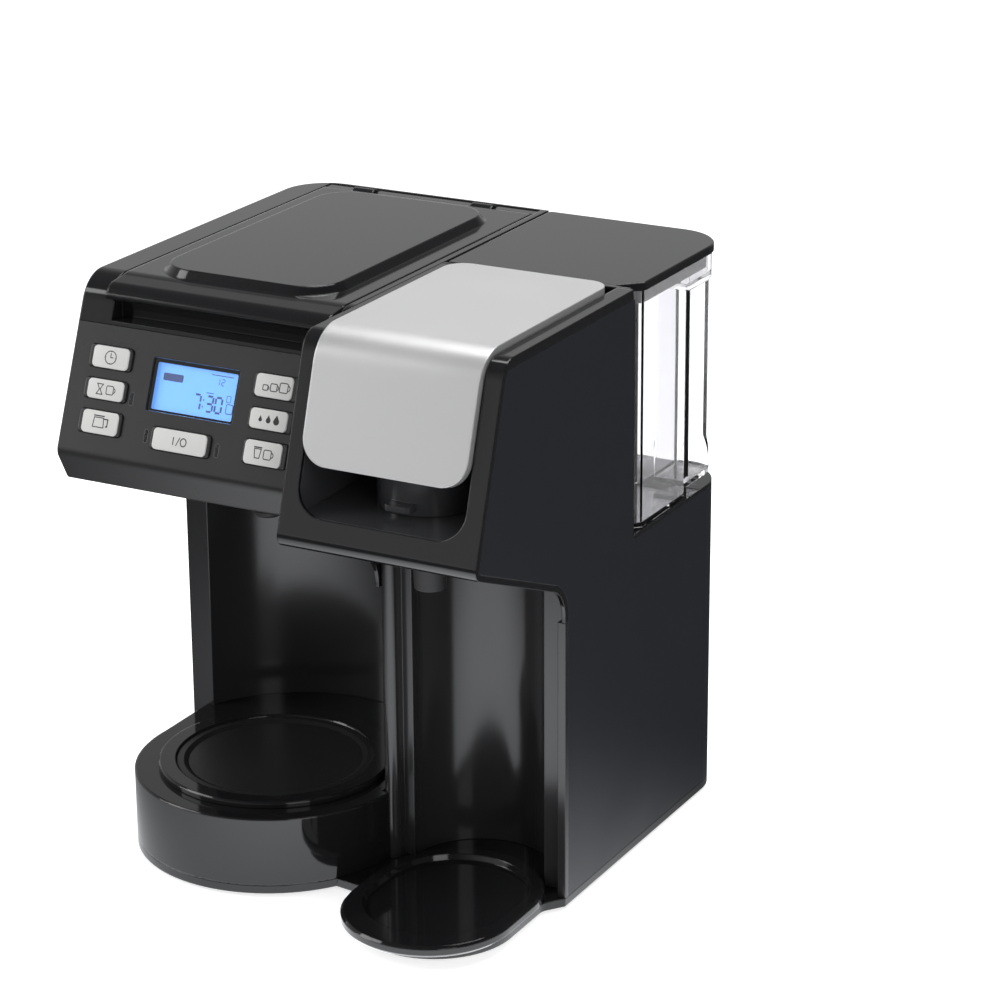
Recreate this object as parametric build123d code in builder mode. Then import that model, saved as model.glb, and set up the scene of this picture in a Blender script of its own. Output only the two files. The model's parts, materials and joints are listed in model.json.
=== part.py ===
"""Two-way coffee maker: a carafe side with a warming plate and a single-serve side with a cup rest.

Lengths are in millimetres. X runs to the right as one faces the machine, Y runs to the back
and Z runs up from the worktop. The origin lies on the worktop, under the middle of the machine.
"""

import os
from math import cos, hypot, pi, radians, sin, sqrt, tan

from build123d import *

os.makedirs("parts", exist_ok=True)

# Overall sizes
width = 298.0
depth = 329.0
height = 354.5

# Common sizes
wall = 2.5
seam = 0.1
running_gap = 0.3
pin_radius = 1.98
pin_seat_radius = 2.0
pin_bore_radius = 2.06
foot_height = 2.5
base_thickness = 5.1

# Where the two towers and the two bays lie
carafe_tower_width = 173.2
serve_tower_back_gap = 132.3
side_front_gap = 110.0
carafe_column_gap = 174.3
carafe_column_width = 15.0
divider_width = 9.7
serve_column_gap = 119.5
serve_bay_left_gap = 6.8
serve_bay_right_gap = 18.8
carafe_bay_depth = 53.2

# Rounded vertical corners at the back
back_left_radius = 28.0
back_right_radius = 31.5

# Carafe head, seen from the side
fascia_tilt = 21.6
fascia_foot_gap = 42.5
fascia_foot_drop = 98.0
fascia_under_gap = 52.5
fascia_under_drop = 117.0
fascia_seam_drop = 25.9
carafe_ceiling_drop = 142.5
carafe_top_radius = 22.0
cover_skirt = 10.0

# Single-serve head, seen from the side
serve_tilt = 17.6
serve_foot_gap = 3.7
serve_foot_drop = 113.0
serve_corner_drop = 156.5
serve_ceiling_drop = 174.5
serve_top_radius = 14.0
trim_width = 4.0
serve_cover_thickness = 6.1

# Warming plate and its drum
drum_left_gap = 10.0
drum_divider_reach = 5.3
plate_front_gap = 119.3
drum_top_z = 50.4
ring_inset = 14.4
ring_height = 4.0
plate_inset = 26.7

# Cup rest
rest_left_gap = 15.5
rest_right_gap = 5.7
rest_length = 134.0
rest_thickness = 7.4
rest_rim = 8.0
rest_dish = 3.5
lobe_inset = 3.2
lobe_front_inset = 11.0

# Basket lid over the carafe tower
basket_lid_left_gap = 19.0
basket_lid_right_gap = 5.6
lid_gap = 1.0
basket_axis_back_gap = 8.3
basket_axis_drop = 4.0
basket_ear_radius = 5.2
basket_ear_width = 15.0
basket_ear_spacing = 85.0
basket_ear_left_gap = 89.0
lid_back_clearance = 4.2
lid_thickness = 3.0
lid_lip_drop = 9.5
dome_height = 5.0

# Brew basket
basket_front_gap = 146.5
basket_top_radius = 50.0
basket_bottom_radius = 37.0
basket_bottom_drop = 114.5
deck_drop = 18.0

# Single-serve lid
serve_lid_left_gap = 10.4
serve_lid_right_gap = 11.4
serve_lid_rise = 3.5
serve_lid_thickness = 2.2
serve_axis_back_gap = 13.7
serve_axis_drop = 4.7
serve_lid_back_gap = 6.7
serve_lid_proud = 4.0
serve_lid_drop = 72.0
recess_drop = 100.7
recess_corner_radius = 17.0

# Pod holder
pod_front_gap = 66.5
pod_radius = 29.0
pod_height = 58.0
pod_floor_drop = 96.5

# Control panel, measured along the slope of the fascia from its top seam
button_travel = 1.0
button_proud = 1.5
button_flange = 1.0
column_button_width = 29.0
left_buttons_gap = 26.9
right_buttons_gap = 34.0
display_gap = 84.6
display_s = 29.5
display_width = 58.5
display_height = 31.0
window_depth = 1.2
board_thickness = 1.6

# Well and water tank
well_rim_drop = 150.0
well_rim_width = 20.0
well_depth = 19.0
tank_left_gap = 17.0
tank_wall = 2.4
tank_chamfer = 14.0
notch_right_gap = 35.0
notch_back_gap = 56.5
tank_lid_height = 10.0
valve_right_gap = 51.0
valve_back_gap = 84.5
valve_travel = 3.0
hose_left_gap = 25.8
hose_back_gap = 18.2
hose_radius = 4.5
spring_wire = 1.2
spring_radius = 6.2
spring_turns = 4

# Values worked out from the sizes above
left_x = -width / 2
right_x = width / 2
back_y = depth / 2
front_y = -depth / 2
split_x = left_x + carafe_tower_width
base_top_z = foot_height + base_thickness
divider_x = split_x + 2.3
divider_right_x = divider_x + divider_width
serve_tower_back_y = back_y - serve_tower_back_gap
side_front_y = front_y + side_front_gap
carafe_column_y = front_y + carafe_column_gap
serve_column_y = front_y + serve_column_gap
serve_bay_left_x = divider_right_x + serve_bay_left_gap
serve_bay_right_x = right_x - serve_bay_right_gap
serve_bay_radius = (serve_bay_right_x - serve_bay_left_x) / 2
serve_bay_x = (serve_bay_left_x + serve_bay_right_x) / 2
fascia_foot_y = front_y + fascia_foot_gap
fascia_foot_z = height - fascia_foot_drop
fascia_under_y = front_y + fascia_under_gap
fascia_under_z = height - fascia_under_drop
fascia_seam_z = height - fascia_seam_drop
carafe_ceiling_z = height - carafe_ceiling_drop
serve_foot_y = front_y + serve_foot_gap
serve_foot_z = height - serve_foot_drop
serve_corner_z = height - serve_corner_drop
serve_ceiling_z = height - serve_ceiling_drop
drum_left_x = left_x + drum_left_gap
drum_right_x = divider_x + drum_divider_reach
drum_radius = (drum_right_x - drum_left_x) / 2
ring_radius = drum_radius - ring_inset
plate_radius = drum_radius - plate_inset
plate_x = (drum_left_x + drum_right_x) / 2
plate_y = front_y + plate_front_gap
rest_left_x = split_x + rest_left_gap
rest_right_x = right_x - rest_right_gap
rest_width = rest_right_x - rest_left_x
rest_x = (rest_left_x + rest_right_x) / 2
basket_axis_y = back_y - basket_axis_back_gap
basket_axis_z = height - basket_axis_drop
basket_ear_middle_x = left_x + basket_ear_left_gap
lid_lip_z = height - lid_lip_drop
basket_x = plate_x
basket_y = front_y + basket_front_gap
basket_outlet_y = plate_y
basket_bottom_z = height - basket_bottom_drop
deck_top_z = height - deck_drop
serve_lid_width = right_x - serve_lid_right_gap - split_x - serve_lid_left_gap
serve_lid_x = (right_x - serve_lid_right_gap + split_x + serve_lid_left_gap) / 2
serve_axis_y = serve_tower_back_y - serve_axis_back_gap
serve_axis_z = height - serve_axis_drop
serve_lid_back_y = serve_tower_back_y - serve_lid_back_gap
pod_x = serve_lid_x
pod_y = front_y + pod_front_gap
pod_floor_z = height - pod_floor_drop
left_buttons_x = left_x + left_buttons_gap
right_buttons_x = split_x - right_buttons_gap
display_x = left_x + display_gap
well_rim_z = height - well_rim_drop
notch_x = right_x - notch_right_gap
notch_y = back_y - notch_back_gap
valve_x = right_x - valve_right_gap
valve_y = back_y - valve_back_gap
hose_x = split_x + hose_left_gap
hose_y = serve_tower_back_y - hose_back_gap
serve_lid_left_x = serve_lid_x - serve_lid_width / 2
serve_lid_right_x = serve_lid_x + serve_lid_width / 2
recess_left_x = serve_lid_left_x - lid_gap
recess_right_x = serve_lid_right_x + lid_gap
panel_top_z = height - serve_cover_thickness
skirt_z = height - cover_skirt
fascia_top_y = fascia_foot_y + (height - fascia_foot_z) * tan(radians(fascia_tilt))
fascia_seam_y = fascia_foot_y + (fascia_seam_z - fascia_foot_z) * tan(radians(fascia_tilt))
serve_top_y = serve_foot_y + (height - serve_foot_z) * tan(radians(serve_tilt))
ceiling_slope = (fascia_under_z - carafe_ceiling_z) / (carafe_column_y - fascia_under_y)
carafe_bay_left_x = left_x + carafe_column_width
carafe_bay_middle_x = (carafe_bay_left_x + divider_x) / 2
carafe_bay_back_y = carafe_column_y + carafe_bay_depth
rest_front_y = front_y
rest_y = rest_front_y + rest_length / 2

# The fascia's own frame: local X to the right, local Y up the slope, local Z out of the panel
fascia_plane = Plane(
    origin=(0, fascia_seam_y, fascia_seam_z),
    x_dir=(1, 0, 0),
    z_dir=(0, -cos(radians(fascia_tilt)), sin(radians(fascia_tilt))),
)
serve_plane = Plane(
    origin=(0, serve_top_y, height),
    x_dir=(1, 0, 0),
    z_dir=(0, -cos(radians(serve_tilt)), sin(radians(serve_tilt))),
)

# Each button: name, middle across, middle down the slope, width, height
button_layout = [
    ("clock_button", left_buttons_x, 18.6, column_button_width, 13.0),
    ("delay_button", left_buttons_x, 37.4, column_button_width, 11.8),
    ("carafe_button", left_buttons_x, 56.6, column_button_width, 13.6),
    ("brew_button", display_x - 1.9, 59.8, 40.2, 12.8),
    ("size_button", right_buttons_x, 19.9, column_button_width, 13.4),
    ("strength_button", right_buttons_x, 38.8, column_button_width, 11.8),
    ("single_button", right_buttons_x, 58.1, column_button_width, 14.0),
]
indicator_places = [
    (left_buttons_x + 17.9, 40.0),
    (display_x - 25.9, 59.6),
    (display_x + 22.4, 61.0),
]
indicator_width = 1.8
indicator_height = 7.0


def side_block(points, radii, low_x, high_x, inset=0.0):
    """A prism along X whose outline is drawn from the side, as (y, z) points with rounded corners."""
    with BuildPart() as block:
        with BuildSketch(Plane.YZ.offset(low_x)):
            with BuildLine():
                FilletPolyline(*points, radius=radii, close=True)
            make_face()
            if inset:
                offset(amount=-inset, kind=Kind.INTERSECTION)
        extrude(amount=high_x - low_x)
    return block.part


def plan_block(points, radii, low_z, high_z, inset=0.0):
    """A prism along Z whose outline is drawn from above, as (x, y) points with rounded corners."""
    with BuildPart() as block:
        with BuildSketch(Plane.XY.offset(low_z)):
            with BuildLine():
                FilletPolyline(*points, radius=radii, close=True)
            make_face()
            if inset:
                offset(amount=-inset, kind=Kind.INTERSECTION)
        extrude(amount=high_z - low_z)
    return block.part


def box_block(low, high):
    """A plain box between two corners, used to keep or cut away a region."""
    with BuildPart() as block:
        middle_x = (low[0] + high[0]) / 2
        middle_y = (low[1] + high[1]) / 2
        with BuildSketch(Plane.XY.offset(low[2])):
            with Locations((middle_x, middle_y)):
                Rectangle(high[0] - low[0], high[1] - low[1])
        extrude(amount=high[2] - low[2])
    return block.part


def slope_block(plane, x, s, size_x, size_s, low, high, radius):
    """A rounded rectangular block standing on a sloping plane, s being the distance down the slope."""
    with BuildPart() as block:
        with BuildSketch(plane.offset(low)):
            with Locations((x, -s)):
                RectangleRounded(size_x, size_s, radius)
        extrude(amount=high - low)
    return block.part


def finish(piece, label):
    """Label a finished piece and write its file."""
    piece.part.label = label
    export_step(piece.part, f"parts/{label}.step")


# Outlines shared by the housing pieces, drawn from the side and run on past the edges they don't shape
carafe_outline = [
    (carafe_column_y, -60),
    (carafe_column_y, carafe_ceiling_z),
    (fascia_under_y, fascia_under_z),
    (fascia_foot_y, fascia_foot_z),
    (fascia_top_y, height),
    (back_y + 60, height),
    (back_y + 60, -60),
]
carafe_radii = [0, 14, 5, 8, carafe_top_radius, 0, 0]
serve_outline = [
    (side_front_y, -60),
    (side_front_y, serve_corner_z),
    (serve_foot_y, serve_foot_z),
    (serve_top_y, height),
    (back_y + 60, height),
    (back_y + 60, -60),
]
serve_radii = [0, 22, 7, serve_top_radius, 0, 0]
head_outline = [
    (back_y + 60, height),
    (serve_top_y, height),
    (serve_foot_y, serve_foot_z),
    (side_front_y, serve_corner_z),
    (back_y + 60, serve_corner_z),
]
head_radii = [0, serve_top_radius, 7, 0, 0]
body_plan = [(left_x, front_y - 60), (left_x, back_y), (right_x, back_y), (right_x, front_y - 60)]
body_plan_radii = [0, back_left_radius, back_right_radius, 0]

carafe_solid = side_block(carafe_outline, carafe_radii, left_x, split_x - seam)
carafe_core = side_block(carafe_outline, carafe_radii, left_x - 1, split_x + 1, inset=wall)
body_solid = plan_block(body_plan, body_plan_radii, 0, height + 20)
body_core = plan_block(body_plan, body_plan_radii, -10, height + 30, inset=wall)
body_skin = body_solid - body_core
corner_left_x = left_x + back_left_radius
corner_right_x = right_x - back_right_radius


def under_slope(y):
    """Height of the carafe head's underside at a distance back."""
    return carafe_ceiling_z + (carafe_column_y - y) * ceiling_slope


bay_back_y = carafe_bay_back_y
ceiling_points = [
    (fascia_under_y + 7, under_slope(fascia_under_y + 7)),
    (bay_back_y + wall, under_slope(bay_back_y + wall)),
    (bay_back_y + wall, under_slope(bay_back_y + wall) + wall + 0.1),
    (fascia_under_y + 7, under_slope(fascia_under_y + 7) + wall + 0.1),
]
above_ceiling = side_block(
    [
        (fascia_under_y, under_slope(fascia_under_y) - seam),
        (bay_back_y + 20, under_slope(bay_back_y + 20) - seam),
        (bay_back_y + 20, height),
        (fascia_under_y, height),
    ],
    0,
    left_x - 1,
    split_x + 4,
)

# Base plate: one moulding with a round lobe under the drum and a long lobe under the cup rest
lobe_half_width = rest_width / 2 - lobe_inset
lobe_round_y = rest_front_y + lobe_front_inset + lobe_half_width
with BuildPart() as base_plate_blank:
    with BuildSketch(Plane.XY.offset(foot_height)):
        with BuildLine():
            FilletPolyline(
                (left_x, carafe_column_y),
                (left_x, back_y),
                (right_x, back_y),
                (right_x, side_front_y),
                (rest_x + lobe_half_width, side_front_y - 12),
                (rest_x + lobe_half_width, lobe_round_y),
                (rest_x, lobe_round_y + 2),
                (plate_x, side_front_y - 30.1),
                (plate_x - drum_radius, plate_y),
                (plate_x - drum_radius, carafe_column_y),
                radius=[0, back_left_radius, back_right_radius, 0, 9, 0, 0, 0, 0, 0],
                close=True,
            )
        make_face()
        with Locations((plate_x, plate_y)):
            Circle(drum_radius)
        with Locations((rest_x, lobe_round_y + 20)):
            SlotCenterToCenter(40, 2 * lobe_half_width, rotation=90)
    extrude(amount=base_thickness)
foot_places = [
    (left_x + 22, back_y - 26),
    (right_x - 24, back_y - 26),
    (plate_x - 52, plate_y - 42),
    (plate_x + 52, plate_y - 42),
    (rest_x, rest_front_y + lobe_front_inset + 18),
]
screw_places = [
    (left_x + 14, back_y - 104.5),
    (right_x - 14, back_y - 104.5),
    (left_x + 14, front_y + 188.5),
    (right_x - 14, front_y + 144.5),
    (0.0, back_y - 12),
    (divider_x + divider_width / 2, front_y + 144.5),
]
foot_radius = 8.0
foot_stem_radius = 3.0
screw_radius = 1.75
screw_head_radius = 3.6
screw_head_height = 2.4
screw_length = 12.0
with BuildPart() as base_plate:
    add(base_plate_blank.part)
    with BuildSketch(Plane.XY.offset(foot_height)):
        with Locations(*foot_places):
            Circle(foot_stem_radius + seam)
        with Locations(*screw_places):
            Circle(screw_radius + seam)
        with Locations((left_x / 2, back_y - 40), (right_x / 2, back_y - 40)):
            with GridLocations(8, 0, 7, 1):
                SlotCenterToCenter(26, 3.2, rotation=90)
    extrude(amount=base_thickness, mode=Mode.SUBTRACT)
    with BuildSketch(Plane.XY.offset(foot_height)):
        with Locations(*screw_places):
            Circle(screw_head_radius + seam)
    extrude(amount=screw_head_height, mode=Mode.SUBTRACT)
finish(base_plate, "base_plate")

# Rubber feet, each with a stem pressed up into the base plate
with BuildPart() as rubber_feet:
    with BuildSketch():
        with Locations(*foot_places):
            Circle(foot_radius)
    extrude(amount=foot_height)
    chamfer(rubber_feet.faces().filter_by(Axis.Z).group_by(Axis.Z)[0].edges(), length=0.8)
    with BuildSketch(Plane.XY.offset(foot_height)):
        with Locations(*foot_places):
            Circle(foot_stem_radius)
    extrude(amount=base_thickness - 1)
finish(rubber_feet, "rubber_feet")

# Screws that hold the base plate, driven up from below
with BuildPart() as base_screws:
    with BuildSketch(Plane.XY.offset(foot_height + 0.2)):
        with Locations(*screw_places):
            Circle(screw_head_radius)
    extrude(amount=screw_head_height - 0.2)
    with BuildSketch(Plane.XY.offset(foot_height + screw_head_height)):
        with Locations(*screw_places):
            Circle(screw_radius)
    extrude(amount=screw_length)
    with BuildSketch(Plane.XY.offset(foot_height + 0.2)):
        with Locations(*screw_places):
            Rectangle(4.4, 1.0)
            Rectangle(1.0, 4.4)
    extrude(amount=1.2, mode=Mode.SUBTRACT)
finish(base_screws, "base_screws")

# Inside outline of the carafe bay and the wall that lines it
bay_face_y = carafe_column_y
with BuildPart() as bay_space:
    with BuildSketch(Plane.XY.offset(foot_height)):
        with BuildLine():
            Polyline(
                (carafe_bay_left_x, bay_face_y),
                (carafe_bay_left_x, bay_face_y - 10),
                (divider_x - seam, bay_face_y - 10),
                (divider_x - seam, bay_face_y),
            )
            ThreePointArc(
                (divider_x - seam, bay_face_y),
                (carafe_bay_middle_x, bay_back_y),
                (carafe_bay_left_x, bay_face_y),
            )
        make_face()
    extrude(amount=height)
with BuildPart() as carafe_bay_liner:
    with BuildSketch(Plane.XY.offset(base_top_z + seam)):
        with BuildLine():
            Polyline(
                (divider_x - seam, bay_face_y + wall),
                (divider_x - seam, bay_face_y),
            )
            ThreePointArc(
                (divider_x - seam, bay_face_y),
                (carafe_bay_middle_x, bay_back_y),
                (carafe_bay_left_x, bay_face_y),
            )
            Polyline(
                (carafe_bay_left_x, bay_face_y),
                (left_x, bay_face_y),
                (left_x, bay_face_y + wall),
                (carafe_bay_left_x - 1, bay_face_y + wall),
            )
            ThreePointArc(
                (carafe_bay_left_x - 1, bay_face_y + wall),
                (carafe_bay_middle_x, bay_back_y + wall),
                (divider_x - seam, bay_face_y + wall),
            )
        make_face()
    extrude(amount=carafe_ceiling_z)
    add(above_ceiling, mode=Mode.SUBTRACT)
    column_top = box_block((left_x - 1, 0, serve_ceiling_z + 6), (carafe_bay_left_x - 0.6, 20, height))
    add(column_top, mode=Mode.SUBTRACT)
    add(box_block((split_x - seam, 0, serve_ceiling_z - seam), (divider_x + 1, 20, height)), mode=Mode.SUBTRACT)
finish(carafe_bay_liner, "carafe_bay_liner")

# Drum under the warming plate, a skirt with a deck that runs back to the bay wall
deck_thickness = 2.5
with BuildPart() as drum_space:
    with BuildSketch(Plane.XY.offset(base_top_z + seam)):
        with Locations((plate_x, plate_y)):
            Circle(drum_radius)
        with Locations((plate_x - drum_radius / 2 + 0.1, (plate_y + bay_face_y) / 2)):
            Rectangle(drum_radius - 0.2, bay_face_y - plate_y - 2 * seam)
        with Locations(((plate_x + divider_x) / 2, (plate_y + bay_face_y) / 2)):
            Rectangle(divider_x - plate_x - 2 * seam, bay_face_y - plate_y)
    extrude(amount=drum_top_z - base_top_z - seam)
with BuildPart() as plate_drum:
    add(drum_space.part)
    chamfer(plate_drum.faces().sort_by(Axis.Z)[-1].outer_wire().edges(), length=0.8)
    with BuildSketch(Plane.XY.offset(base_top_z + seam)):
        with Locations((plate_x, plate_y)):
            Circle(drum_radius - wall)
    extrude(amount=drum_top_z - base_top_z - deck_thickness - seam, mode=Mode.SUBTRACT)
    rear_room = box_block(
        (plate_x - drum_radius + wall, plate_y, base_top_z),
        (divider_x - wall, carafe_column_y - wall, drum_top_z - deck_thickness),
    )
    add(rear_room, mode=Mode.SUBTRACT)
    add(box_block((divider_x - seam, side_front_y - seam, 0), (divider_x + 60, 60, height)), mode=Mode.SUBTRACT)
    add(box_block((left_x, bay_face_y - seam, 0), (carafe_bay_left_x + seam, 60, height)), mode=Mode.SUBTRACT)
bay_deck_space = bay_space.part & box_block(
    (carafe_bay_left_x + 0.4, bay_face_y - 2, drum_top_z - deck_thickness),
    (divider_x - 0.4, bay_back_y - 1.2, drum_top_z),
)
with BuildPart() as plate_drum_full:
    add(plate_drum.part)
    add(bay_deck_space)
    with BuildSketch(Plane.XY.offset(drum_top_z)):
        with Locations((plate_x, plate_y)):
            Circle(plate_radius + 4)
    extrude(amount=-20, mode=Mode.SUBTRACT)
finish(plate_drum_full, "plate_drum")

# Trim ring round the warming plate, the plate itself and what heats it
with BuildPart() as plate_ring:
    with BuildSketch(Plane.XY.offset(drum_top_z + seam)):
        with Locations((plate_x, plate_y)):
            Circle(ring_radius)
            Circle(plate_radius + 1, mode=Mode.SUBTRACT)
    extrude(amount=ring_height)
    ring_top = plate_ring.edges().group_by(Axis.Z)[-1]
    chamfer(ring_top, length=1.0)
    with BuildSketch(Plane.XY.offset(drum_top_z - 6)):
        with Locations((plate_x, plate_y)):
            Circle(plate_radius + 3.8)
            Circle(plate_radius + 1, mode=Mode.SUBTRACT)
    extrude(amount=6 + seam)
finish(plate_ring, "plate_ring")

plate_top_z = drum_top_z + 1.6
with BuildPart() as warming_plate:
    with BuildSketch(Plane.XZ.offset(-plate_y)):
        with BuildLine():
            Polyline(
                (plate_x, plate_top_z),
                (plate_x + plate_radius - 6, plate_top_z),
                (plate_x + plate_radius - 3, plate_top_z + 1.4),
                (plate_x + plate_radius + 0.9, plate_top_z + 1.4),
                (plate_x + plate_radius + 0.9, plate_top_z - 5),
                (plate_x + plate_radius - 0.3, plate_top_z - 5),
                (plate_x + plate_radius - 0.3, plate_top_z - 1.2),
                (plate_x, plate_top_z - 1.2),
                close=True,
            )
        make_face()
    revolve(axis=Axis((plate_x, plate_y, 0), (0, 0, 1)))
finish(warming_plate, "warming_plate")

heater_radius = 40.0
heater_tube = 3.6
heater_z = plate_top_z - 1.3 - heater_tube
with BuildPart() as plate_heater:
    with BuildLine(Plane.XY.offset(heater_z)) as heater_path:
        CenterArc((plate_x, plate_y), heater_radius, -60, 300)
    with BuildSketch(Plane(origin=heater_path.line @ 0, z_dir=heater_path.line % 0)):
        Circle(heater_tube)
    sweep()
finish(plate_heater, "plate_heater")

with BuildPart() as plate_thermostat:
    with BuildSketch(Plane.XY.offset(plate_top_z - 1.3)):
        with Locations((plate_x, plate_y)):
            Circle(9)
    extrude(amount=-7)
    with BuildSketch(Plane.XY.offset(plate_top_z - 8.3)):
        with Locations((plate_x - 5, plate_y), (plate_x + 5, plate_y)):
            Rectangle(0.8, 6)
    extrude(amount=-9)
finish(plate_thermostat, "plate_thermostat")

heater_bracket_z = heater_z - heater_tube
with BuildPart() as heater_bracket:
    with BuildSketch(Plane.XY.offset(heater_bracket_z)):
        with Locations((plate_x, plate_y)):
            Rectangle(16, 2 * heater_radius + 20)
            Circle(11, mode=Mode.SUBTRACT)
    extrude(amount=-1.5)
    bolt_places = [(plate_x, plate_y - heater_radius + 14), (plate_x, plate_y + heater_radius - 14)]
    with BuildSketch(Plane.XY.offset(heater_bracket_z)):
        with Locations(*bolt_places):
            Circle(2)
    extrude(amount=plate_top_z - 1.2 - heater_bracket_z)
    with BuildSketch(Plane.XY.offset(heater_bracket_z - 1.5)):
        with Locations(*bolt_places):
            RegularPolygon(4, 6)
    extrude(amount=-3)
finish(heater_bracket, "heater_bracket")

# Wall that lines the single-serve bay, with the divider between the bays
column_back_y = carafe_column_y + wall
with BuildSketch() as bay_plan_sketch:
    with BuildLine():
        Polyline(
            (serve_bay_x + serve_bay_radius, serve_column_y),
            (right_x - wall, serve_column_y),
            (right_x - wall, side_front_y),
            (right_x, side_front_y),
            (right_x, side_front_y + 114.5),
            (divider_x, side_front_y + 114.5),
            (divider_x, side_front_y),
            (divider_right_x, side_front_y),
            (divider_right_x, serve_column_y),
            (serve_bay_x - serve_bay_radius, serve_column_y),
        )
        ThreePointArc(
            (serve_bay_x - serve_bay_radius, serve_column_y),
            (serve_bay_x, serve_column_y + serve_bay_radius),
            (serve_bay_x + serve_bay_radius, serve_column_y),
        )
    make_face()
    nose = bay_plan_sketch.vertices().filter_by(
        lambda v: v.X < divider_right_x + 1 and abs(v.Y - side_front_y) < 0.01
    )
    fillet(nose, radius=divider_width / 2 - 0.1)
serve_liner_top_z = serve_corner_z - seam
with BuildPart() as serve_bay_liner:
    with BuildSketch(Plane.XY.offset(base_top_z + seam)):
        add(bay_plan_sketch.sketch)
        offset(bay_plan_sketch.sketch, amount=-wall, kind=Kind.INTERSECTION, mode=Mode.SUBTRACT)
    extrude(amount=serve_liner_top_z - base_top_z - seam)
    back_region = box_block((divider_x - 1, column_back_y, 0), (right_x + 1, 80, height))
    add(back_region, mode=Mode.SUBTRACT)
    panel_region = box_block(
        (right_x - wall - seam, side_front_y + trim_width, 0), (right_x + 1, 80, height)
    )
    add(panel_region, mode=Mode.SUBTRACT)
    trim_region = box_block(
        (right_x - wall - seam, side_front_y - 1, serve_ceiling_z - seam), (right_x + 1, 80, height)
    )
    add(trim_region, mode=Mode.SUBTRACT)
    plate_region = box_block(
        (divider_x - 1, side_front_y - 1, serve_ceiling_z - seam), (split_x + wall + seam, 80, height)
    )
    add(plate_region, mode=Mode.SUBTRACT)
    trim_return = box_block(
        (right_x - 2 * wall, side_front_y, base_top_z + seam),
        (right_x - wall, side_front_y + trim_width, serve_ceiling_z - seam),
    )
    add(trim_return)
    trim_side = box_block(
        (right_x - 2 * wall, side_front_y, base_top_z + seam),
        (right_x - wall - seam, serve_column_y + wall, serve_ceiling_z - seam),
    )
    add(trim_side)
finish(serve_bay_liner, "serve_bay_liner")

# Outer side panels and the rear cover
with BuildPart() as left_side_panel:
    add(side_block(carafe_outline, carafe_radii, left_x, corner_left_x, inset=wall + seam))
    add(body_skin, mode=Mode.INTERSECT)
    panel_range = box_block(
        (left_x - 1, front_y, base_top_z + seam), (corner_left_x, back_y + 1, skirt_z - seam)
    )
    add(panel_range, mode=Mode.INTERSECT)
finish(left_side_panel, "left_side_panel")

serve_panel_block = side_block(
    serve_outline, serve_radii, corner_right_x, right_x, inset=trim_width + seam
)
panel_front_range = box_block(
    (corner_right_x, front_y, base_top_z + seam),
    (right_x + 1, serve_tower_back_y - seam, panel_top_z - seam),
)
panel_back_range = box_block(
    (corner_right_x, side_front_y, base_top_z + seam),
    (right_x + 1, back_y + 1, well_rim_z - wall - seam),
)
with BuildPart() as right_side_panel:
    add(serve_panel_block)
    add(body_skin, mode=Mode.INTERSECT)
    add(panel_front_range + panel_back_range, mode=Mode.INTERSECT)
finish(right_side_panel, "right_side_panel")

gland_x = right_x - 89
gland_z = 34.0
gland_radius = 7.0
with BuildPart() as rear_cover:
    with BuildSketch(Plane.XZ.offset(-back_y)):
        with BuildLine():
            Polyline(
                (corner_left_x + seam, base_top_z + seam),
                (corner_right_x - seam, base_top_z + seam),
                (corner_right_x - seam, well_rim_z - wall - seam),
                (split_x - seam, well_rim_z - wall - seam),
                (split_x - seam, skirt_z - seam),
                (corner_left_x + seam, skirt_z - seam),
                close=True,
            )
        make_face()
        with Locations((gland_x, gland_z)):
            Circle(gland_radius, mode=Mode.SUBTRACT)
        with Locations((left_x + 101, height - 54.5)):
            with GridLocations(9, 0, 9, 1):
                SlotCenterToCenter(34, 3.4, rotation=90, mode=Mode.SUBTRACT)
        with Locations((left_x + 101, 60)):
            with GridLocations(9, 0, 9, 1):
                SlotCenterToCenter(34, 3.4, rotation=90, mode=Mode.SUBTRACT)
    extrude(amount=wall)
finish(rear_cover, "rear_cover")

with BuildPart() as cord_gland:
    with BuildSketch(Plane.XZ.offset(-back_y + 0.6)):
        with Locations((gland_x, gland_z)):
            Circle(gland_radius - seam)
    extrude(amount=9)
    with BuildSketch(Plane.XZ.offset(-back_y + wall + seam)):
        with Locations((gland_x, gland_z)):
            Circle(gland_radius + 3)
    extrude(amount=2.4)
    with BuildSketch(Plane.XZ.offset(-back_y)):
        with Locations((gland_x, gland_z)):
            Circle(3.6)
    extrude(amount=20, mode=Mode.SUBTRACT)
finish(cord_gland, "cord_gland")

# Underside of the carafe head, which is also the ceiling of its bay
outlet_hole_radius = 17.0
head_floor_plan = box_block((left_x, front_y, 0), (split_x - seam, carafe_column_y - seam, height)) + (
    bay_space.part & box_block((left_x, carafe_column_y - 3, 0), (split_x - seam, 100, height))
)
with BuildPart() as head_floor:
    add(side_block(ceiling_points, 0, left_x, split_x - seam))
    add(head_floor_plan, mode=Mode.INTERSECT)
    corner_piece = (carafe_solid - carafe_core) & box_block(
        (left_x, carafe_column_y - 29.8, serve_ceiling_z + 6.1),
        (carafe_bay_left_x - 0.7, carafe_column_y + wall, carafe_ceiling_z + 20),
    )
    add(corner_piece)
    add(left_side_panel.part, mode=Mode.SUBTRACT)
    with BuildSketch(Plane.XY.offset(carafe_ceiling_z - 32)):
        with Locations((plate_x, basket_outlet_y)):
            Circle(outlet_hole_radius)
    extrude(amount=60, mode=Mode.SUBTRACT)
finish(head_floor, "head_floor")

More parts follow.
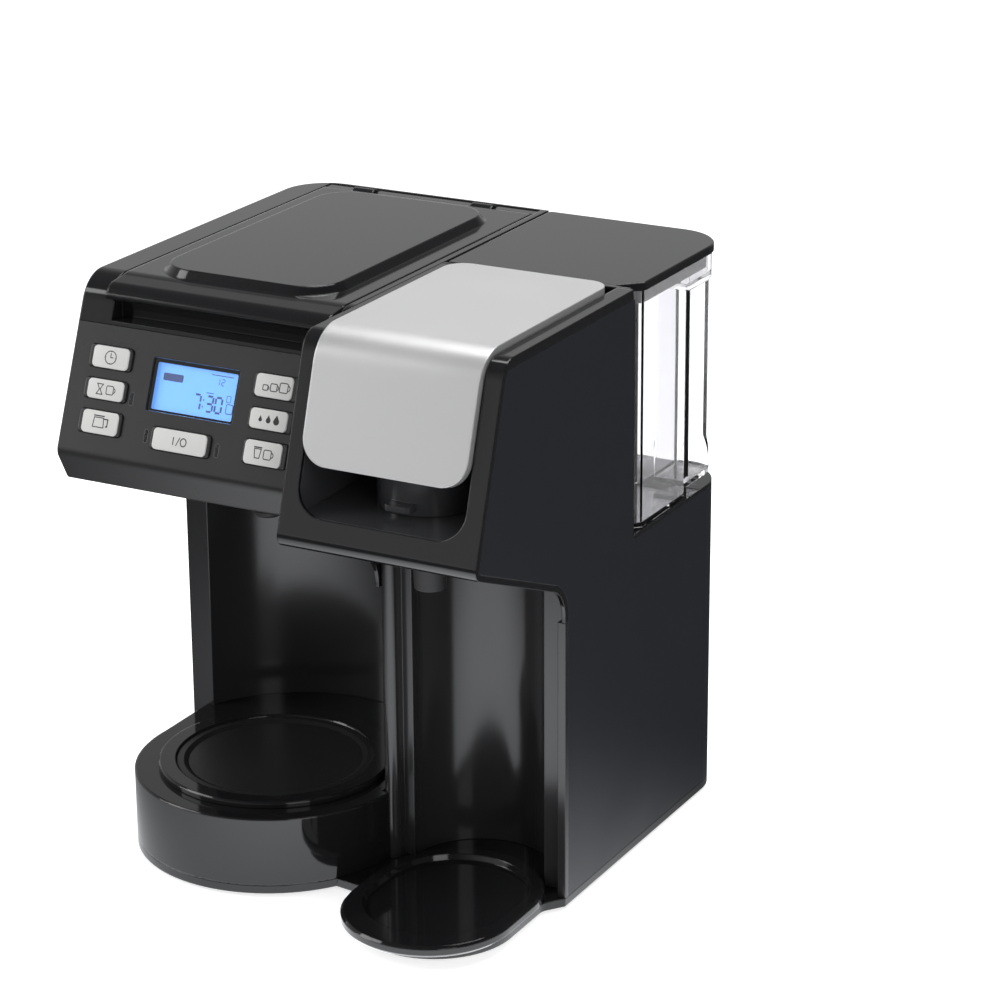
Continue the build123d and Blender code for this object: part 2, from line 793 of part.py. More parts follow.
# Control fascia with its button windows and display window
button_clearance = 0.35
with BuildPart() as control_fascia:
    add(carafe_solid - carafe_core)
    fascia_range = box_block(
        (left_x, front_y, fascia_under_z - 9), (split_x - seam, fascia_foot_y + 82, fascia_seam_z - seam)
    )
    add(fascia_range, mode=Mode.INTERSECT)
    behind = box_block((left_x - 1, fascia_under_y + 7 - seam, 0), (split_x + 1, 0, fascia_foot_z - 8))
    add(behind, mode=Mode.SUBTRACT)
    for label, x, s, size_x, size_s in button_layout:
        with BuildSketch(fascia_plane.offset(-wall - 1)):
            with Locations((x, -s)):
                RectangleRounded(size_x + 2 * button_clearance, size_s + 2 * button_clearance, 2.6)
        extrude(amount=wall + 4, mode=Mode.SUBTRACT)
    with BuildSketch(fascia_plane.offset(-wall - 1)):
        with Locations((display_x, -display_s)):
            RectangleRounded(display_width, display_height, 1.2)
        with Locations(*[(x, -s) for x, s in indicator_places]):
            SlotOverall(indicator_height + 0.2, indicator_width + 0.2, rotation=90)
    extrude(amount=wall + 4, mode=Mode.SUBTRACT)
finish(control_fascia, "control_fascia")

# Push buttons: a cap that stands out of the fascia and a flange that keeps it in
flange_depth = -wall - 0.3
for label, x, s, size_x, size_s in button_layout:
    with BuildPart() as button:
        with BuildSketch(fascia_plane.offset(flange_depth - 1.4)):
            with Locations((x, -s)):
                RectangleRounded(size_x, size_s, 2.3)
        extrude(amount=button_proud - flange_depth + 1.4)
        rim = button.faces().sort_by(SortBy.DISTANCE).filter_by(
            lambda f: abs(fascia_plane.to_local_coords(f.center()).Z - button_proud) < 0.01
        )
        fillet(rim[0].outer_wire().edges(), radius=0.7)
        with BuildSketch(fascia_plane.offset(flange_depth - 1.4)):
            with Locations((x, -s)):
                RectangleRounded(size_x + 2 * button_flange, size_s + 2 * button_flange, 2.6)
        extrude(amount=1.4)
        with BuildSketch(fascia_plane.offset(flange_depth - 2.9)):
            with Locations((x, -s)):
                RectangleRounded(size_x - 8, size_s - 5, 1.5)
        extrude(amount=1.6)
    finish(button, label)

# Electronics behind the fascia
mat_top = flange_depth - 2.9 - button_travel - 0.5
with BuildPart() as keypad_mat:
    for label, x, s, size_x, size_s in button_layout:
        with BuildSketch(fascia_plane.offset(mat_top - 2.0)):
            with Locations((x, -s)):
                RectangleRounded(size_x, size_s, 2.3)
        extrude(amount=1.0)
        with BuildSketch(fascia_plane.offset(mat_top - 1.0)):
            with Locations((x, -s)):
                RectangleRounded(size_x - 12, size_s - 7, 1.5)
        extrude(amount=1.0)
finish(keypad_mat, "keypad_mat")

board_top = mat_top - 2.0 - seam
with BuildPart() as control_board:
    with BuildSketch(fascia_plane.offset(board_top - board_thickness)):
        with Locations((display_x - 1.5, -38.5)):
            Rectangle(150, 62)
    extrude(amount=board_thickness)
    with BuildSketch(fascia_plane.offset(board_top - board_thickness)):
        with Locations((display_x - 30, -24), (display_x + 34, -50)):
            Rectangle(18, 12)
    extrude(amount=-2.5)
finish(control_board, "control_board")

with BuildPart() as display_module:
    with BuildSketch(fascia_plane.offset(board_top + seam)):
        with Locations((display_x, -display_s)):
            Rectangle(display_width + 5, display_height + 3)
    extrude(amount=-wall - 1.6 - board_top - seam)
finish(display_module, "display_module")

with BuildPart() as display_window:
    with BuildSketch(fascia_plane.offset(-wall - 1.5)):
        with Locations((display_x, -display_s)):
            Rectangle(display_width + 5, display_height + 3)
    extrude(amount=1.4)
    with BuildSketch(fascia_plane.offset(-wall - 0.2)):
        with Locations((display_x, -display_s)):
            RectangleRounded(display_width - 0.2, display_height - 0.2, 1.1)
    extrude(amount=wall + 0.2 - window_depth)
finish(display_window, "display_window")

with BuildPart() as indicator_lenses:
    with BuildSketch(fascia_plane.offset(-wall - 1)):
        with Locations(*[(x, -s) for x, s in indicator_places]):
            SlotOverall(indicator_height, indicator_width, rotation=90)
    extrude(amount=wall + 1)
finish(indicator_lenses, "indicator_lenses")

# Housing of the single-serve head: front bezel, underside, top frame, left wall and side trim
serve_back_y = serve_tower_back_y - wall - seam
head_shell = side_block(head_outline, head_radii, split_x, right_x) - side_block(
    head_outline, head_radii, split_x + wall, right_x + 1, inset=wall
)
trim_block = side_block(serve_outline, serve_radii, right_x - wall, right_x) - (
    side_block(serve_outline, serve_radii, right_x - wall - 1, right_x + 1, inset=trim_width)
    & box_block((split_x, front_y, 0), (right_x + 1, back_y, panel_top_z))
)
left_plate = side_block(serve_outline, serve_radii, split_x, split_x + wall)
serve_range = box_block((split_x, front_y, serve_ceiling_z), (right_x + 1, serve_back_y, height))
recess_block = slope_block(
    serve_plane,
    serve_lid_x,
    recess_drop / 2 - 30,
    recess_right_x - recess_left_x,
    recess_drop + 60,
    -wall - 12,
    20,
    recess_corner_radius,
)
top_opening = box_block(
    (recess_left_x, serve_top_y + 14, height - 12), (recess_right_x, serve_back_y - 0.2, height + 5)
)
lug_thickness = 3.0
with BuildPart() as serve_housing:
    add(head_shell + trim_block + left_plate)
    add(serve_range, mode=Mode.INTERSECT)
    add(recess_block, mode=Mode.SUBTRACT)
    add(top_opening, mode=Mode.SUBTRACT)
    for lug_x in (recess_left_x - lug_thickness, recess_right_x):
        with BuildSketch(Plane.YZ.offset(lug_x)):
            with Locations((serve_axis_y, serve_axis_z + 0.5)):
                Rectangle(12, 8)
        extrude(amount=lug_thickness)
    with BuildSketch(Plane.YZ.offset(split_x + wall + 1)):
        with Locations((serve_axis_y, serve_axis_z)):
            Circle(pin_seat_radius)
    extrude(amount=right_x - split_x - 2 * wall - 2, mode=Mode.SUBTRACT)
    with BuildSketch(Plane.XY.offset(serve_ceiling_z)):
        with Locations((pod_x, pod_y)):
            Circle(11)
        with Locations((hose_x, hose_y)):
            Circle(6)
    extrude(amount=60, mode=Mode.SUBTRACT)
    add(right_side_panel.part, mode=Mode.SUBTRACT)
finish(serve_housing, "serve_housing")

# Tub behind the single-serve lid, which holds the pod holder
tub_wall = 2.2
swing_clearance = 0.6
lid_swing_radius = hypot(serve_lid_back_y - serve_axis_y, height + serve_lid_rise - serve_axis_z)
tub_floor_z = pod_floor_z - seam
tub_back_y = pod_y + 58
shelf_z = height - 20.5
tub_cavity_points = [
    (front_y - 20, tub_floor_z),
    (tub_back_y, tub_floor_z),
    (tub_back_y, shelf_z),
    (serve_back_y - 2.4, shelf_z),
    (serve_back_y - 2.4, height + 20),
    (front_y - 20, height + 20),
]
tub_cavity = side_block(tub_cavity_points, [0, 8, 8, 0, 0, 0], recess_left_x, recess_right_x)
tub_outer = side_block(
    tub_cavity_points, [0, 8, 8, 0, 0, 0], recess_left_x - tub_wall, recess_right_x + tub_wall, inset=-tub_wall
)
head_room = side_block(
    head_outline, head_radii, split_x + wall + seam, right_x - wall - seam, inset=wall + seam
)
with BuildPart() as serve_tub:
    add(tub_outer - tub_cavity)
    add(head_room, mode=Mode.INTERSECT)
    for lug_x in (recess_left_x - lug_thickness, recess_right_x):
        gap_points = (lug_x - seam, serve_axis_y - 6 - seam, serve_axis_z - 3.5 - seam)
        far_points = (lug_x + lug_thickness + seam, serve_axis_y + 6 + seam, height + 1)
        add(box_block(gap_points, far_points), mode=Mode.SUBTRACT)
    with BuildSketch(Plane.XY.offset(tub_floor_z - 10)):
        with Locations((pod_x, pod_y)):
            Circle(9)
    extrude(amount=20, mode=Mode.SUBTRACT)
    with BuildSketch(Plane.YZ.offset(recess_left_x)):
        with Locations((serve_axis_y, serve_axis_z)):
            Circle(lid_swing_radius + swing_clearance)
    extrude(amount=recess_right_x - recess_left_x, mode=Mode.SUBTRACT)
finish(serve_tub, "serve_tub")

# Spout that carries the brewed coffee through the ceiling of the bay
spout_top_z = tub_floor_z - tub_wall - seam
spout_tip_z = height - 148.5
with BuildPart() as serve_spout:
    with BuildSketch(Plane.XZ.offset(-pod_y)):
        with BuildLine():
            Polyline(
                (pod_x + 18, spout_top_z),
                (pod_x + 22, spout_top_z),
                (pod_x + 10.6, spout_top_z - 22),
                (pod_x + 9, spout_tip_z),
                (pod_x + 6.4, spout_tip_z),
                (pod_x + 7.6, spout_top_z - 22),
                close=True,
            )
        make_face()
    revolve(axis=Axis((pod_x, pod_y, 0), (0, 0, 1)))
finish(serve_spout, "serve_spout")

# Pod holder with a tab at the front to lift it out by
pod_wall = 2.2
with BuildPart() as pod_holder:
    with BuildSketch(Plane.XY.offset(pod_floor_z)):
        with Locations((pod_x, pod_y)):
            Circle(pod_radius)
    extrude(amount=pod_height)
    with BuildSketch(Plane.XY.offset(pod_floor_z + pod_wall)):
        with Locations((pod_x, pod_y)):
            Circle(pod_radius - pod_wall)
    extrude(amount=pod_height, mode=Mode.SUBTRACT)
    with BuildSketch(Plane.XY.offset(pod_floor_z + pod_height - 3)):
        with Locations((pod_x, pod_y)):
            Circle(pod_radius + 2.5)
            Circle(pod_radius - 1, mode=Mode.SUBTRACT)
    extrude(amount=3)
    with BuildSketch(Plane.XY.offset(pod_floor_z + 4)):
        with Locations((pod_x, pod_y - pod_radius - 3)):
            RectangleRounded(17, 10, 3)
    extrude(amount=3.5)
    with BuildSketch(Plane.XY.offset(pod_floor_z - 5)):
        with Locations((pod_x, pod_y)):
            Circle(7)
    extrude(amount=5)
    with BuildSketch(Plane.XY.offset(pod_floor_z - 6)):
        with Locations((pod_x, pod_y)):
            Circle(4)
    extrude(amount=20, mode=Mode.SUBTRACT)
    with BuildSketch(Plane.XY.offset(pod_floor_z + pod_wall)):
        with Locations((pod_x, pod_y)):
            with PolarLocations(15, 6):
                Rectangle(12, 1.6)
    extrude(amount=3)
finish(pod_holder, "pod_holder")

with BuildPart() as lower_needle:
    with BuildSketch(Plane.XY.offset(pod_floor_z - 4)):
        with Locations((pod_x, pod_y)):
            Circle(3.9)
    extrude(amount=8)
    with BuildSketch(Plane.XY.offset(pod_floor_z + 4)):
        with Locations((pod_x, pod_y)):
            Circle(1.6)
    extrude(amount=9)
    chamfer(lower_needle.faces().sort_by(Axis.Z)[-1].edges(), length=1.2)
finish(lower_needle, "lower_needle")


lid_slope = tan(radians(serve_tilt))
lid_reach = serve_lid_proud / cos(radians(serve_tilt))
lid_top_z = height + serve_lid_rise
lid_bend_y = serve_foot_y + (lid_top_z - serve_foot_z) * lid_slope - lid_reach
lid_foot_z = height - serve_lid_drop * cos(radians(serve_tilt))


def lid_front_y(z):
    """Distance back of the lid's front face at a height."""
    return serve_foot_y + (z - serve_foot_z) * lid_slope - lid_reach


def serve_lid_block(shrink, extra):
    """The single-serve lid as a solid slab, made smaller all round by shrink and longer in front by extra."""
    foot_z = lid_foot_z - extra
    foot_y = lid_front_y(foot_z)
    points = [
        (serve_lid_back_y, lid_top_z),
        (lid_bend_y, lid_top_z),
        (foot_y, foot_z),
        (foot_y + 40, foot_z - 40 * lid_slope),
        (serve_lid_back_y, lid_top_z - 60),
    ]
    slab = side_block(points, [0, 25, 0, 0, 0], serve_lid_left_x, serve_lid_right_x, inset=shrink)
    sides = serve_lid_width - 2 * shrink
    drop = serve_lid_drop + extra / cos(radians(serve_tilt))
    front_prism = slope_block(
        serve_plane, serve_lid_x, drop / 2 - 45 - shrink / 2, sides, drop + 90 - shrink, -60, 30, 16
    )
    top_prism = plan_block(
        [
            (serve_lid_left_x + shrink, serve_lid_back_y - shrink),
            (serve_lid_right_x - shrink, serve_lid_back_y - shrink),
            (serve_lid_right_x - shrink, front_y - 20),
            (serve_lid_left_x + shrink, front_y - 20),
        ],
        [13, 13, 0, 0],
        200,
        height + 20,
    )
    cut_y = lid_bend_y + 14
    front_part = box_block((split_x, front_y - 20, 200), (right_x, cut_y, height + 20))
    back_part = box_block((split_x, cut_y, 200), (right_x, 60, height + 20))
    return (slab & front_prism & front_part) + (slab & top_prism & back_part)


def serve_lid_deep(inset):
    """The room under the single-serve lid, at a depth below its outer face."""
    low_z = lid_foot_z - 60
    points = [
        (serve_lid_back_y + 60, lid_top_z),
        (lid_bend_y, lid_top_z),
        (lid_front_y(low_z), low_z),
        (serve_lid_back_y + 60, low_z),
    ]
    return side_block(points, [0, 25, 0, 0], split_x, right_x, inset=inset)


# Silver lid of the single-serve side: an outer shell and a black carrier that bears the needle
skirt_depth = 5.6
with BuildPart() as serve_lid_shell:
    add(serve_lid_block(0, 0))
    add(serve_lid_block(serve_lid_thickness, 0), mode=Mode.SUBTRACT)
    add(serve_lid_deep(skirt_depth), mode=Mode.SUBTRACT)
finish(serve_lid_shell, "serve_lid_shell")

knuckle_width = 8.0
with BuildPart() as serve_lid_carrier:
    add(serve_lid_block(serve_lid_thickness + seam, 0) - serve_lid_deep(skirt_depth))
    for knuckle_x in (serve_lid_left_x + 11, serve_lid_right_x - 11 - knuckle_width):
        with BuildSketch(Plane.YZ.offset(knuckle_x)):
            with Locations((serve_axis_y, serve_axis_z)):
                Circle(4.6)
            with Locations((serve_axis_y - 1, serve_axis_z + 2.4)):
                Rectangle(7, 4)
        extrude(amount=knuckle_width)
    with BuildSketch(Plane.YZ.offset(serve_lid_left_x - 1)):
        with Locations((serve_axis_y, serve_axis_z)):
            Circle(pin_bore_radius)
    extrude(amount=serve_lid_width + 2, mode=Mode.SUBTRACT)
    with BuildSketch(Plane.XY.offset(height - 9)):
        with Locations((pod_x, pod_y)):
            Circle(20)
    extrude(amount=8)
    with BuildSketch(Plane.XY.offset(pod_floor_z + pod_height + 5)):
        with Locations((pod_x, pod_y)):
            Circle(15)
            Circle(4, mode=Mode.SUBTRACT)
    extrude(amount=height - 8 - pod_floor_z - pod_height - 5)
finish(serve_lid_carrier, "serve_lid_carrier")

needle_top_z = pod_floor_z + pod_height + 20
with BuildPart() as upper_needle:
    with BuildSketch(Plane.XY.offset(needle_top_z)):
        with Locations((pod_x, pod_y)):
            Circle(3.9)
    extrude(amount=-17)
    with BuildSketch(Plane.XY.offset(needle_top_z - 17)):
        with Locations((pod_x, pod_y)):
            Circle(1.6)
    extrude(amount=-14)
    chamfer(upper_needle.faces().sort_by(Axis.Z)[0].edges(), length=1.2)
finish(upper_needle, "upper_needle")

with BuildPart() as needle_seal:
    with BuildSketch(Plane.XY.offset(pod_floor_z + pod_height + 0.6)):
        with Locations((pod_x, pod_y)):
            Circle(14)
            Circle(4.2, mode=Mode.SUBTRACT)
    extrude(amount=4.3)
finish(needle_seal, "needle_seal")

# Lid over the brew basket with its dome, front lip and two hinge ears
basket_lid_left_x = left_x + basket_lid_left_gap
basket_lid_right_x = split_x - basket_lid_right_gap
basket_lid_width = basket_lid_right_x - basket_lid_left_x
basket_lid_x = (basket_lid_left_x + basket_lid_right_x) / 2
basket_lid_back_y = basket_axis_y - lid_back_clearance
dome_front_y = front_y + 94.5
dome_length = back_y - 26.5 - dome_front_y
dome_width = basket_lid_width - 28
dome_y = dome_front_y + dome_length / 2
lip_points = [
    (fascia_top_y + 16, height),
    (fascia_top_y - 5, height - 2.5),
    (fascia_top_y - 10.3, lid_lip_z + 0.8),
    (fascia_top_y - 7.5, lid_lip_z - 2.2),
    (fascia_top_y - 1.0, lid_lip_z + 1.0),
    (fascia_top_y + 16, height - lid_thickness),
]
lid_band = side_block(carafe_outline, carafe_radii, basket_lid_left_x, basket_lid_right_x) - side_block(
    carafe_outline, carafe_radii, basket_lid_left_x - 1, basket_lid_right_x + 1, inset=lid_thickness
)
ear_places = [
    basket_ear_middle_x - basket_ear_spacing / 2,
    basket_ear_middle_x + basket_ear_spacing / 2,
]
with BuildPart() as basket_lid:
    add(lid_band)
    lid_range = box_block(
        (basket_lid_left_x, front_y, lid_lip_z), (basket_lid_right_x, basket_lid_back_y, height + 1)
    )
    add(lid_range, mode=Mode.INTERSECT)
    add(side_block(lip_points, [0, 8, 1.5, 1.2, 3, 0], basket_lid_left_x, basket_lid_right_x))
    with BuildSketch(Plane.XY.offset(height - 0.1)):
        with Locations((basket_lid_x, dome_y)):
            RectangleRounded(dome_width, dome_length, 26)
    extrude(amount=dome_height, taper=38)
    with BuildSketch(Plane.XY.offset(height - lid_thickness - 0.1)):
        with Locations((basket_lid_x, dome_y)):
            RectangleRounded(dome_width - 5, dome_length - 5, 23)
    extrude(amount=dome_height + 0.2, taper=38, mode=Mode.SUBTRACT)
    for ear_x in ear_places:
        with BuildSketch(Plane.YZ.offset(ear_x - basket_ear_width / 2)):
            with Locations((basket_axis_y, basket_axis_z)):
                Circle(basket_ear_radius)
            with Locations((basket_axis_y - 5, basket_axis_z - 0.5)):
                Rectangle(10, 6)
        extrude(amount=basket_ear_width)
    with BuildSketch(Plane.YZ.offset(basket_lid_left_x)):
        with Locations((basket_axis_y, basket_axis_z)):
            Circle(pin_bore_radius)
    extrude(amount=basket_lid_width, mode=Mode.SUBTRACT)
finish(basket_lid, "basket_lid")

shower_radius = 34.0
with BuildPart() as shower_head:
    with BuildSketch(Plane.XY.offset(height - lid_thickness - 8)):
        with Locations((basket_x, basket_y)):
            Circle(shower_radius)
    extrude(amount=6)
    with BuildSketch(Plane.XY.offset(height - lid_thickness - 2)):
        with Locations((basket_x, basket_y)):
            Circle(shower_radius - 12)
    extrude(amount=dome_height + 2.05)
    with BuildSketch(Plane.XY.offset(height - lid_thickness - 6)):
        with Locations((basket_x, basket_y)):
            Circle(shower_radius - 2.5)
    extrude(amount=3, mode=Mode.SUBTRACT)
    with BuildSketch(Plane.XY.offset(height - lid_thickness - 8)):
        with Locations((basket_x, basket_y)):
            with PolarLocations(22, 10):
                Circle(1.6)
            with PolarLocations(11, 5):
                Circle(1.6)
    extrude(amount=4, mode=Mode.SUBTRACT)
finish(shower_head, "shower_head")

# Top cover of the carafe tower with the opening for its lid and a finger recess in front
cover_inner_right_x = split_x - wall
trough_back_y = fascia_top_y + 2.5
trough_floor_z = fascia_seam_z + 2.5
trough_left_x = basket_lid_left_x + 3
trough_right_x = basket_lid_right_x - 7
trough_points = [
    (fascia_top_y - 25, trough_floor_z - 2),
    (trough_back_y + 2, trough_floor_z - 2),
    (trough_back_y + 2, lid_lip_z - 2.6),
    (fascia_top_y - 25, lid_lip_z - 2.6),
]
cover_zone = box_block((left_x, front_y, skirt_z), (split_x - seam, back_y, height + 1)) + box_block(
    (left_x, front_y, fascia_seam_z), (split_x - seam, fascia_top_y + 23, height)
)
cover_inside = side_block(carafe_outline, carafe_radii, left_x + wall, cover_inner_right_x, inset=wall)
cover_below = side_block(carafe_outline, carafe_radii, left_x - 1, split_x + 1, inset=wall) & box_block(
    (left_x - 1, front_y, height - 54.5), (split_x + 1, back_y + 1, skirt_z)
)
lug_reach = basket_ear_width / 2 + running_gap
landing_depth = 0.6
with BuildPart() as top_cover:
    add(carafe_solid & body_solid & cover_zone)
    add(cover_inside & body_core, mode=Mode.SUBTRACT)
    add(cover_below, mode=Mode.SUBTRACT)
    trough_block = side_block(trough_points, [0, 3, 0, 0], trough_left_x - 2, trough_right_x + 2)
    add(trough_block & carafe_solid)
    opening = box_block(
        (basket_lid_left_x - lid_gap, front_y, lid_lip_z - 2.5),
        (basket_lid_right_x + lid_gap, basket_lid_back_y + 2, height + 1),
    )
    add(opening, mode=Mode.SUBTRACT)
    lid_landing = box_block(
        (basket_lid_left_x - lid_gap, basket_lid_back_y, height - landing_depth),
        (basket_lid_right_x + lid_gap, basket_axis_y + basket_ear_radius + 1, height + 1),
    )
    add(lid_landing, mode=Mode.SUBTRACT)
    trough_hollow = box_block(
        (trough_left_x, front_y, trough_floor_z), (trough_right_x, trough_back_y, height)
    )
    add(trough_hollow, mode=Mode.SUBTRACT)
    for ear_x in ear_places:
        slot = box_block(
            (ear_x - lug_reach, basket_axis_y - 8, skirt_z - 5),
            (ear_x + lug_reach, basket_axis_y + basket_ear_radius + running_gap, height + 1),
        )
        add(slot, mode=Mode.SUBTRACT)
        for lug_x in (ear_x - lug_reach - lug_thickness, ear_x + lug_reach):
            lug = box_block(
                (lug_x, basket_lid_back_y + 0.5, skirt_z + 0.4),
                (lug_x + lug_thickness, back_y - 1, height - 3.5),
            )
            lug_top = box_block(
                (lug_x, basket_lid_back_y + 2, height - 5),
                (lug_x + lug_thickness, back_y - 1, height - 1),
            )
            add(lug + lug_top)
    with BuildSketch(Plane.YZ.offset(left_x + 10)):
        with Locations((basket_axis_y, basket_axis_z)):
            Circle(pin_seat_radius)
    extrude(amount=carafe_tower_width - 20, mode=Mode.SUBTRACT)
finish(top_cover, "top_cover")

serve_pin_length = 22.0
with BuildPart() as hinge_pins:
    for ear_x in ear_places:
        with BuildSketch(Plane.YZ.offset(ear_x - lug_reach - lug_thickness)):
            with Locations((basket_axis_y, basket_axis_z)):
                Circle(pin_radius)
        extrude(amount=2 * (lug_reach + lug_thickness))
    for pin_x in (recess_left_x - lug_thickness, recess_right_x + lug_thickness - serve_pin_length):
        with BuildSketch(Plane.YZ.offset(pin_x)):
            with Locations((serve_axis_y, serve_axis_z)):
                Circle(pin_radius)
        extrude(amount=serve_pin_length)
finish(hinge_pins, "hinge_pins")

# Deck that carries the brew basket, the basket and its filter
basket_flange = 4.5
with BuildPart() as brew_deck:
    with BuildSketch(Plane.XY.offset(deck_top_z)):
        deck_front_y = trough_back_y + 2.3
        deck_back_y = back_y - wall - 0.4
        with Locations(((left_x + split_x) / 2, (deck_front_y + deck_back_y) / 2)):
            Rectangle(carafe_tower_width - 2 * wall - 0.6, deck_back_y - deck_front_y)
        with Locations((basket_x, basket_y)):
            Circle(basket_top_radius + 0.6, mode=Mode.SUBTRACT)
    extrude(amount=-wall)
    add(body_core, mode=Mode.INTERSECT)
finish(brew_deck, "brew_deck")

with BuildPart() as brew_basket:
    with BuildSketch(Plane.XY.offset(basket_bottom_z)):
        with Locations((basket_x, basket_outlet_y + 7)):
            Circle(basket_bottom_radius)
    with BuildSketch(Plane.XY.offset(deck_top_z + seam)):
        with Locations((basket_x, basket_y)):
            Circle(basket_top_radius)
    loft()
    with BuildSketch(Plane.XY.offset(deck_top_z + seam)):
        with Locations((basket_x, basket_y)):
            Circle(basket_top_radius + basket_flange)
    extrude(amount=2)
    with BuildSketch(Plane.XY.offset(basket_bottom_z + 2)):
        with Locations((basket_x, basket_outlet_y + 7)):
            Circle(basket_bottom_radius - 2)
    with BuildSketch(Plane.XY.offset(deck_top_z + 2.5)):
        with Locations((basket_x, basket_y)):
            Circle(basket_top_radius - 2)
    loft(mode=Mode.SUBTRACT)
    with BuildSketch(Plane.XY.offset(basket_bottom_z + 2)):
        with Locations((basket_x, basket_outlet_y)):
            Circle(6.6)
    extrude(amount=-25)
    with BuildSketch(Plane.XY.offset(basket_bottom_z + 3)):
        with Locations((basket_x, basket_outlet_y)):
            Circle(4.4)
    extrude(amount=-30, mode=Mode.SUBTRACT)
    with BuildSketch(Plane.XY.offset(basket_bottom_z + 2)):
        with Locations((basket_x, basket_outlet_y + 7)):
            with PolarLocations(basket_bottom_radius - 12, 5, start_angle=90 - 72 * 2 + 36):
                Rectangle(16, 1.6)
    extrude(amount=3.5)
finish(brew_basket, "brew_basket")

drip_travel = 4.0
with BuildPart() as drip_stop:
    with BuildSketch(Plane.XY.offset(basket_bottom_z - 23 - drip_travel - 0.4)):
        with Locations((basket_x, basket_outlet_y)):
            Circle(8.5)
    extrude(amount=-3.4)
    chamfer(drip_stop.faces().sort_by(Axis.Z)[0].edges(), length=1.2)
    with BuildSketch(Plane.XY.offset(basket_bottom_z - 23 - drip_travel - 0.4)):
        with Locations((basket_x, basket_outlet_y)):
            Circle(2.4)
    extrude(amount=24)
    with BuildSketch(Plane.XY.offset(basket_bottom_z - 8)):
        with Locations((basket_x, basket_outlet_y)):
            Circle(4.05)
    extrude(amount=2.5)
finish(drip_stop, "drip_stop")

# Wall between the towers and the water tank
with BuildPart() as tank_recess_wall:
    with BuildSketch(Plane.XY.offset(well_rim_z + seam)):
        with Locations((split_x - wall / 2, (serve_back_y + seam + back_y - wall - seam) / 2)):
            Rectangle(wall, back_y - wall - 2 * seam - serve_back_y)
    extrude(amount=skirt_z - well_rim_z - 2 * seam)
    cross_wall = box_block(
        (split_x - seam, serve_back_y + seam, well_rim_z + seam),
        (right_x - wall - seam, serve_tower_back_y, height),
    )
    add(cross_wall)
finish(tank_recess_wall, "tank_recess_wall")

# Well that the water tank stands in, with the inlet that opens the tank's valve
well_open_left_x = split_x + 19.8
well_open_right_x = right_x - well_rim_width
well_open_front_y = serve_tower_back_y + 19.8
well_open_back_y = back_y - 22.5
well_x = (well_open_left_x + well_open_right_x) / 2
well_y = (well_open_front_y + well_open_back_y) / 2
well_size_x = well_open_right_x - well_open_left_x
well_size_y = well_open_back_y - well_open_front_y
with BuildPart() as well_liner:
    rim_block = box_block(
        (split_x + seam, serve_tower_back_y, well_rim_z - wall),
        (right_x + 1, back_y + 1, well_rim_z),
    )
    add(rim_block & body_solid)
    with BuildSketch(Plane.XY.offset(well_rim_z - wall)):
        with Locations((well_x, well_y)):
            RectangleRounded(well_size_x + 4, well_size_y + 4, 10)
    extrude(amount=wall - well_depth - 2)
    with BuildSketch(Plane.XY.offset(well_rim_z - well_depth)):
        with Locations((well_x, well_y)):
            RectangleRounded(well_size_x, well_size_y, 8)
    extrude(amount=well_depth + 1, mode=Mode.SUBTRACT)
    with BuildSketch(Plane.XY.offset(well_rim_z - well_depth - 10)):
        with Locations((valve_x, valve_y)):
            Circle(6.1)
    extrude(amount=20, mode=Mode.SUBTRACT)
finish(well_liner, "well_liner")

pin_top_z = well_rim_z - 13.5
with BuildPart() as well_inlet:
    with BuildSketch(Plane.XY.offset(well_rim_z - well_depth + seam)):
        with Locations((valve_x, valve_y)):
            Circle(10)
            Circle(4.2, mode=Mode.SUBTRACT)
    extrude(amount=1.6)
    with BuildSketch(Plane.XY.offset(well_rim_z - well_depth - 14)):
        with Locations((valve_x, valve_y)):
            Circle(6)
            Circle(4.2, mode=Mode.SUBTRACT)
    extrude(amount=14 + seam)
    with BuildSketch(Plane.XY.offset(well_rim_z - well_depth - 3)):
        with Locations((valve_x, valve_y)):
            Circle(1.4)
            Rectangle(9, 1.4)
    extrude(amount=3)
    with BuildSketch(Plane.XY.offset(well_rim_z - well_depth)):
        with Locations((valve_x, valve_y)):
            Circle(1.4)
    extrude(amount=pin_top_z - well_rim_z + well_depth)
finish(well_inlet, "well_inlet")

# Water tank: a clear box that steps out to the left at its rim, with four feet and a loop handle
tank_left_x = well_open_left_x
tank_right_x = right_x - 2
tank_front_y = serve_tower_back_y + 1.2
tank_back_y = back_y - 2
tank_floor_z = well_rim_z + running_gap
tank_lid_seat_z = height - 5.2
tank_shoulder_z = height - 19.0
tank_rim_left_x = split_x + 1.2
tank_corner_radius = back_right_radius - 2
foot_depth = 15.5


def tank_plan(left, inset, low_z, high_z, notched):
    """A slice of the water tank's outline, drawn from above."""
    points = [
        (left, tank_front_y),
        (tank_right_x, tank_front_y),
        (tank_right_x, tank_back_y),
        (left, tank_back_y),
    ]
    with BuildPart() as slice_block:
        with BuildSketch(Plane.XY.offset(low_z)) as slice_sketch:
            with BuildLine():
                FilletPolyline(*points, radius=[4, 0, tank_corner_radius, 4], close=True)
            make_face()
            front_corner = slice_sketch.vertices().filter_by(
                lambda v: abs(v.X - tank_right_x) < 0.1 and abs(v.Y - tank_front_y) < 0.1
            )
            chamfer(front_corner, length=tank_chamfer)
            if notched:
                with Locations(((notch_x + right_x) / 2 + 10, (notch_y + back_y) / 2 + 10)):
                    Rectangle(
                        right_x - notch_x + 20, back_y - notch_y + 20, mode=Mode.SUBTRACT
                    )
            if inset:
                offset(amount=-inset, kind=Kind.INTERSECTION)
        extrude(amount=high_z - low_z)
    return slice_block.part


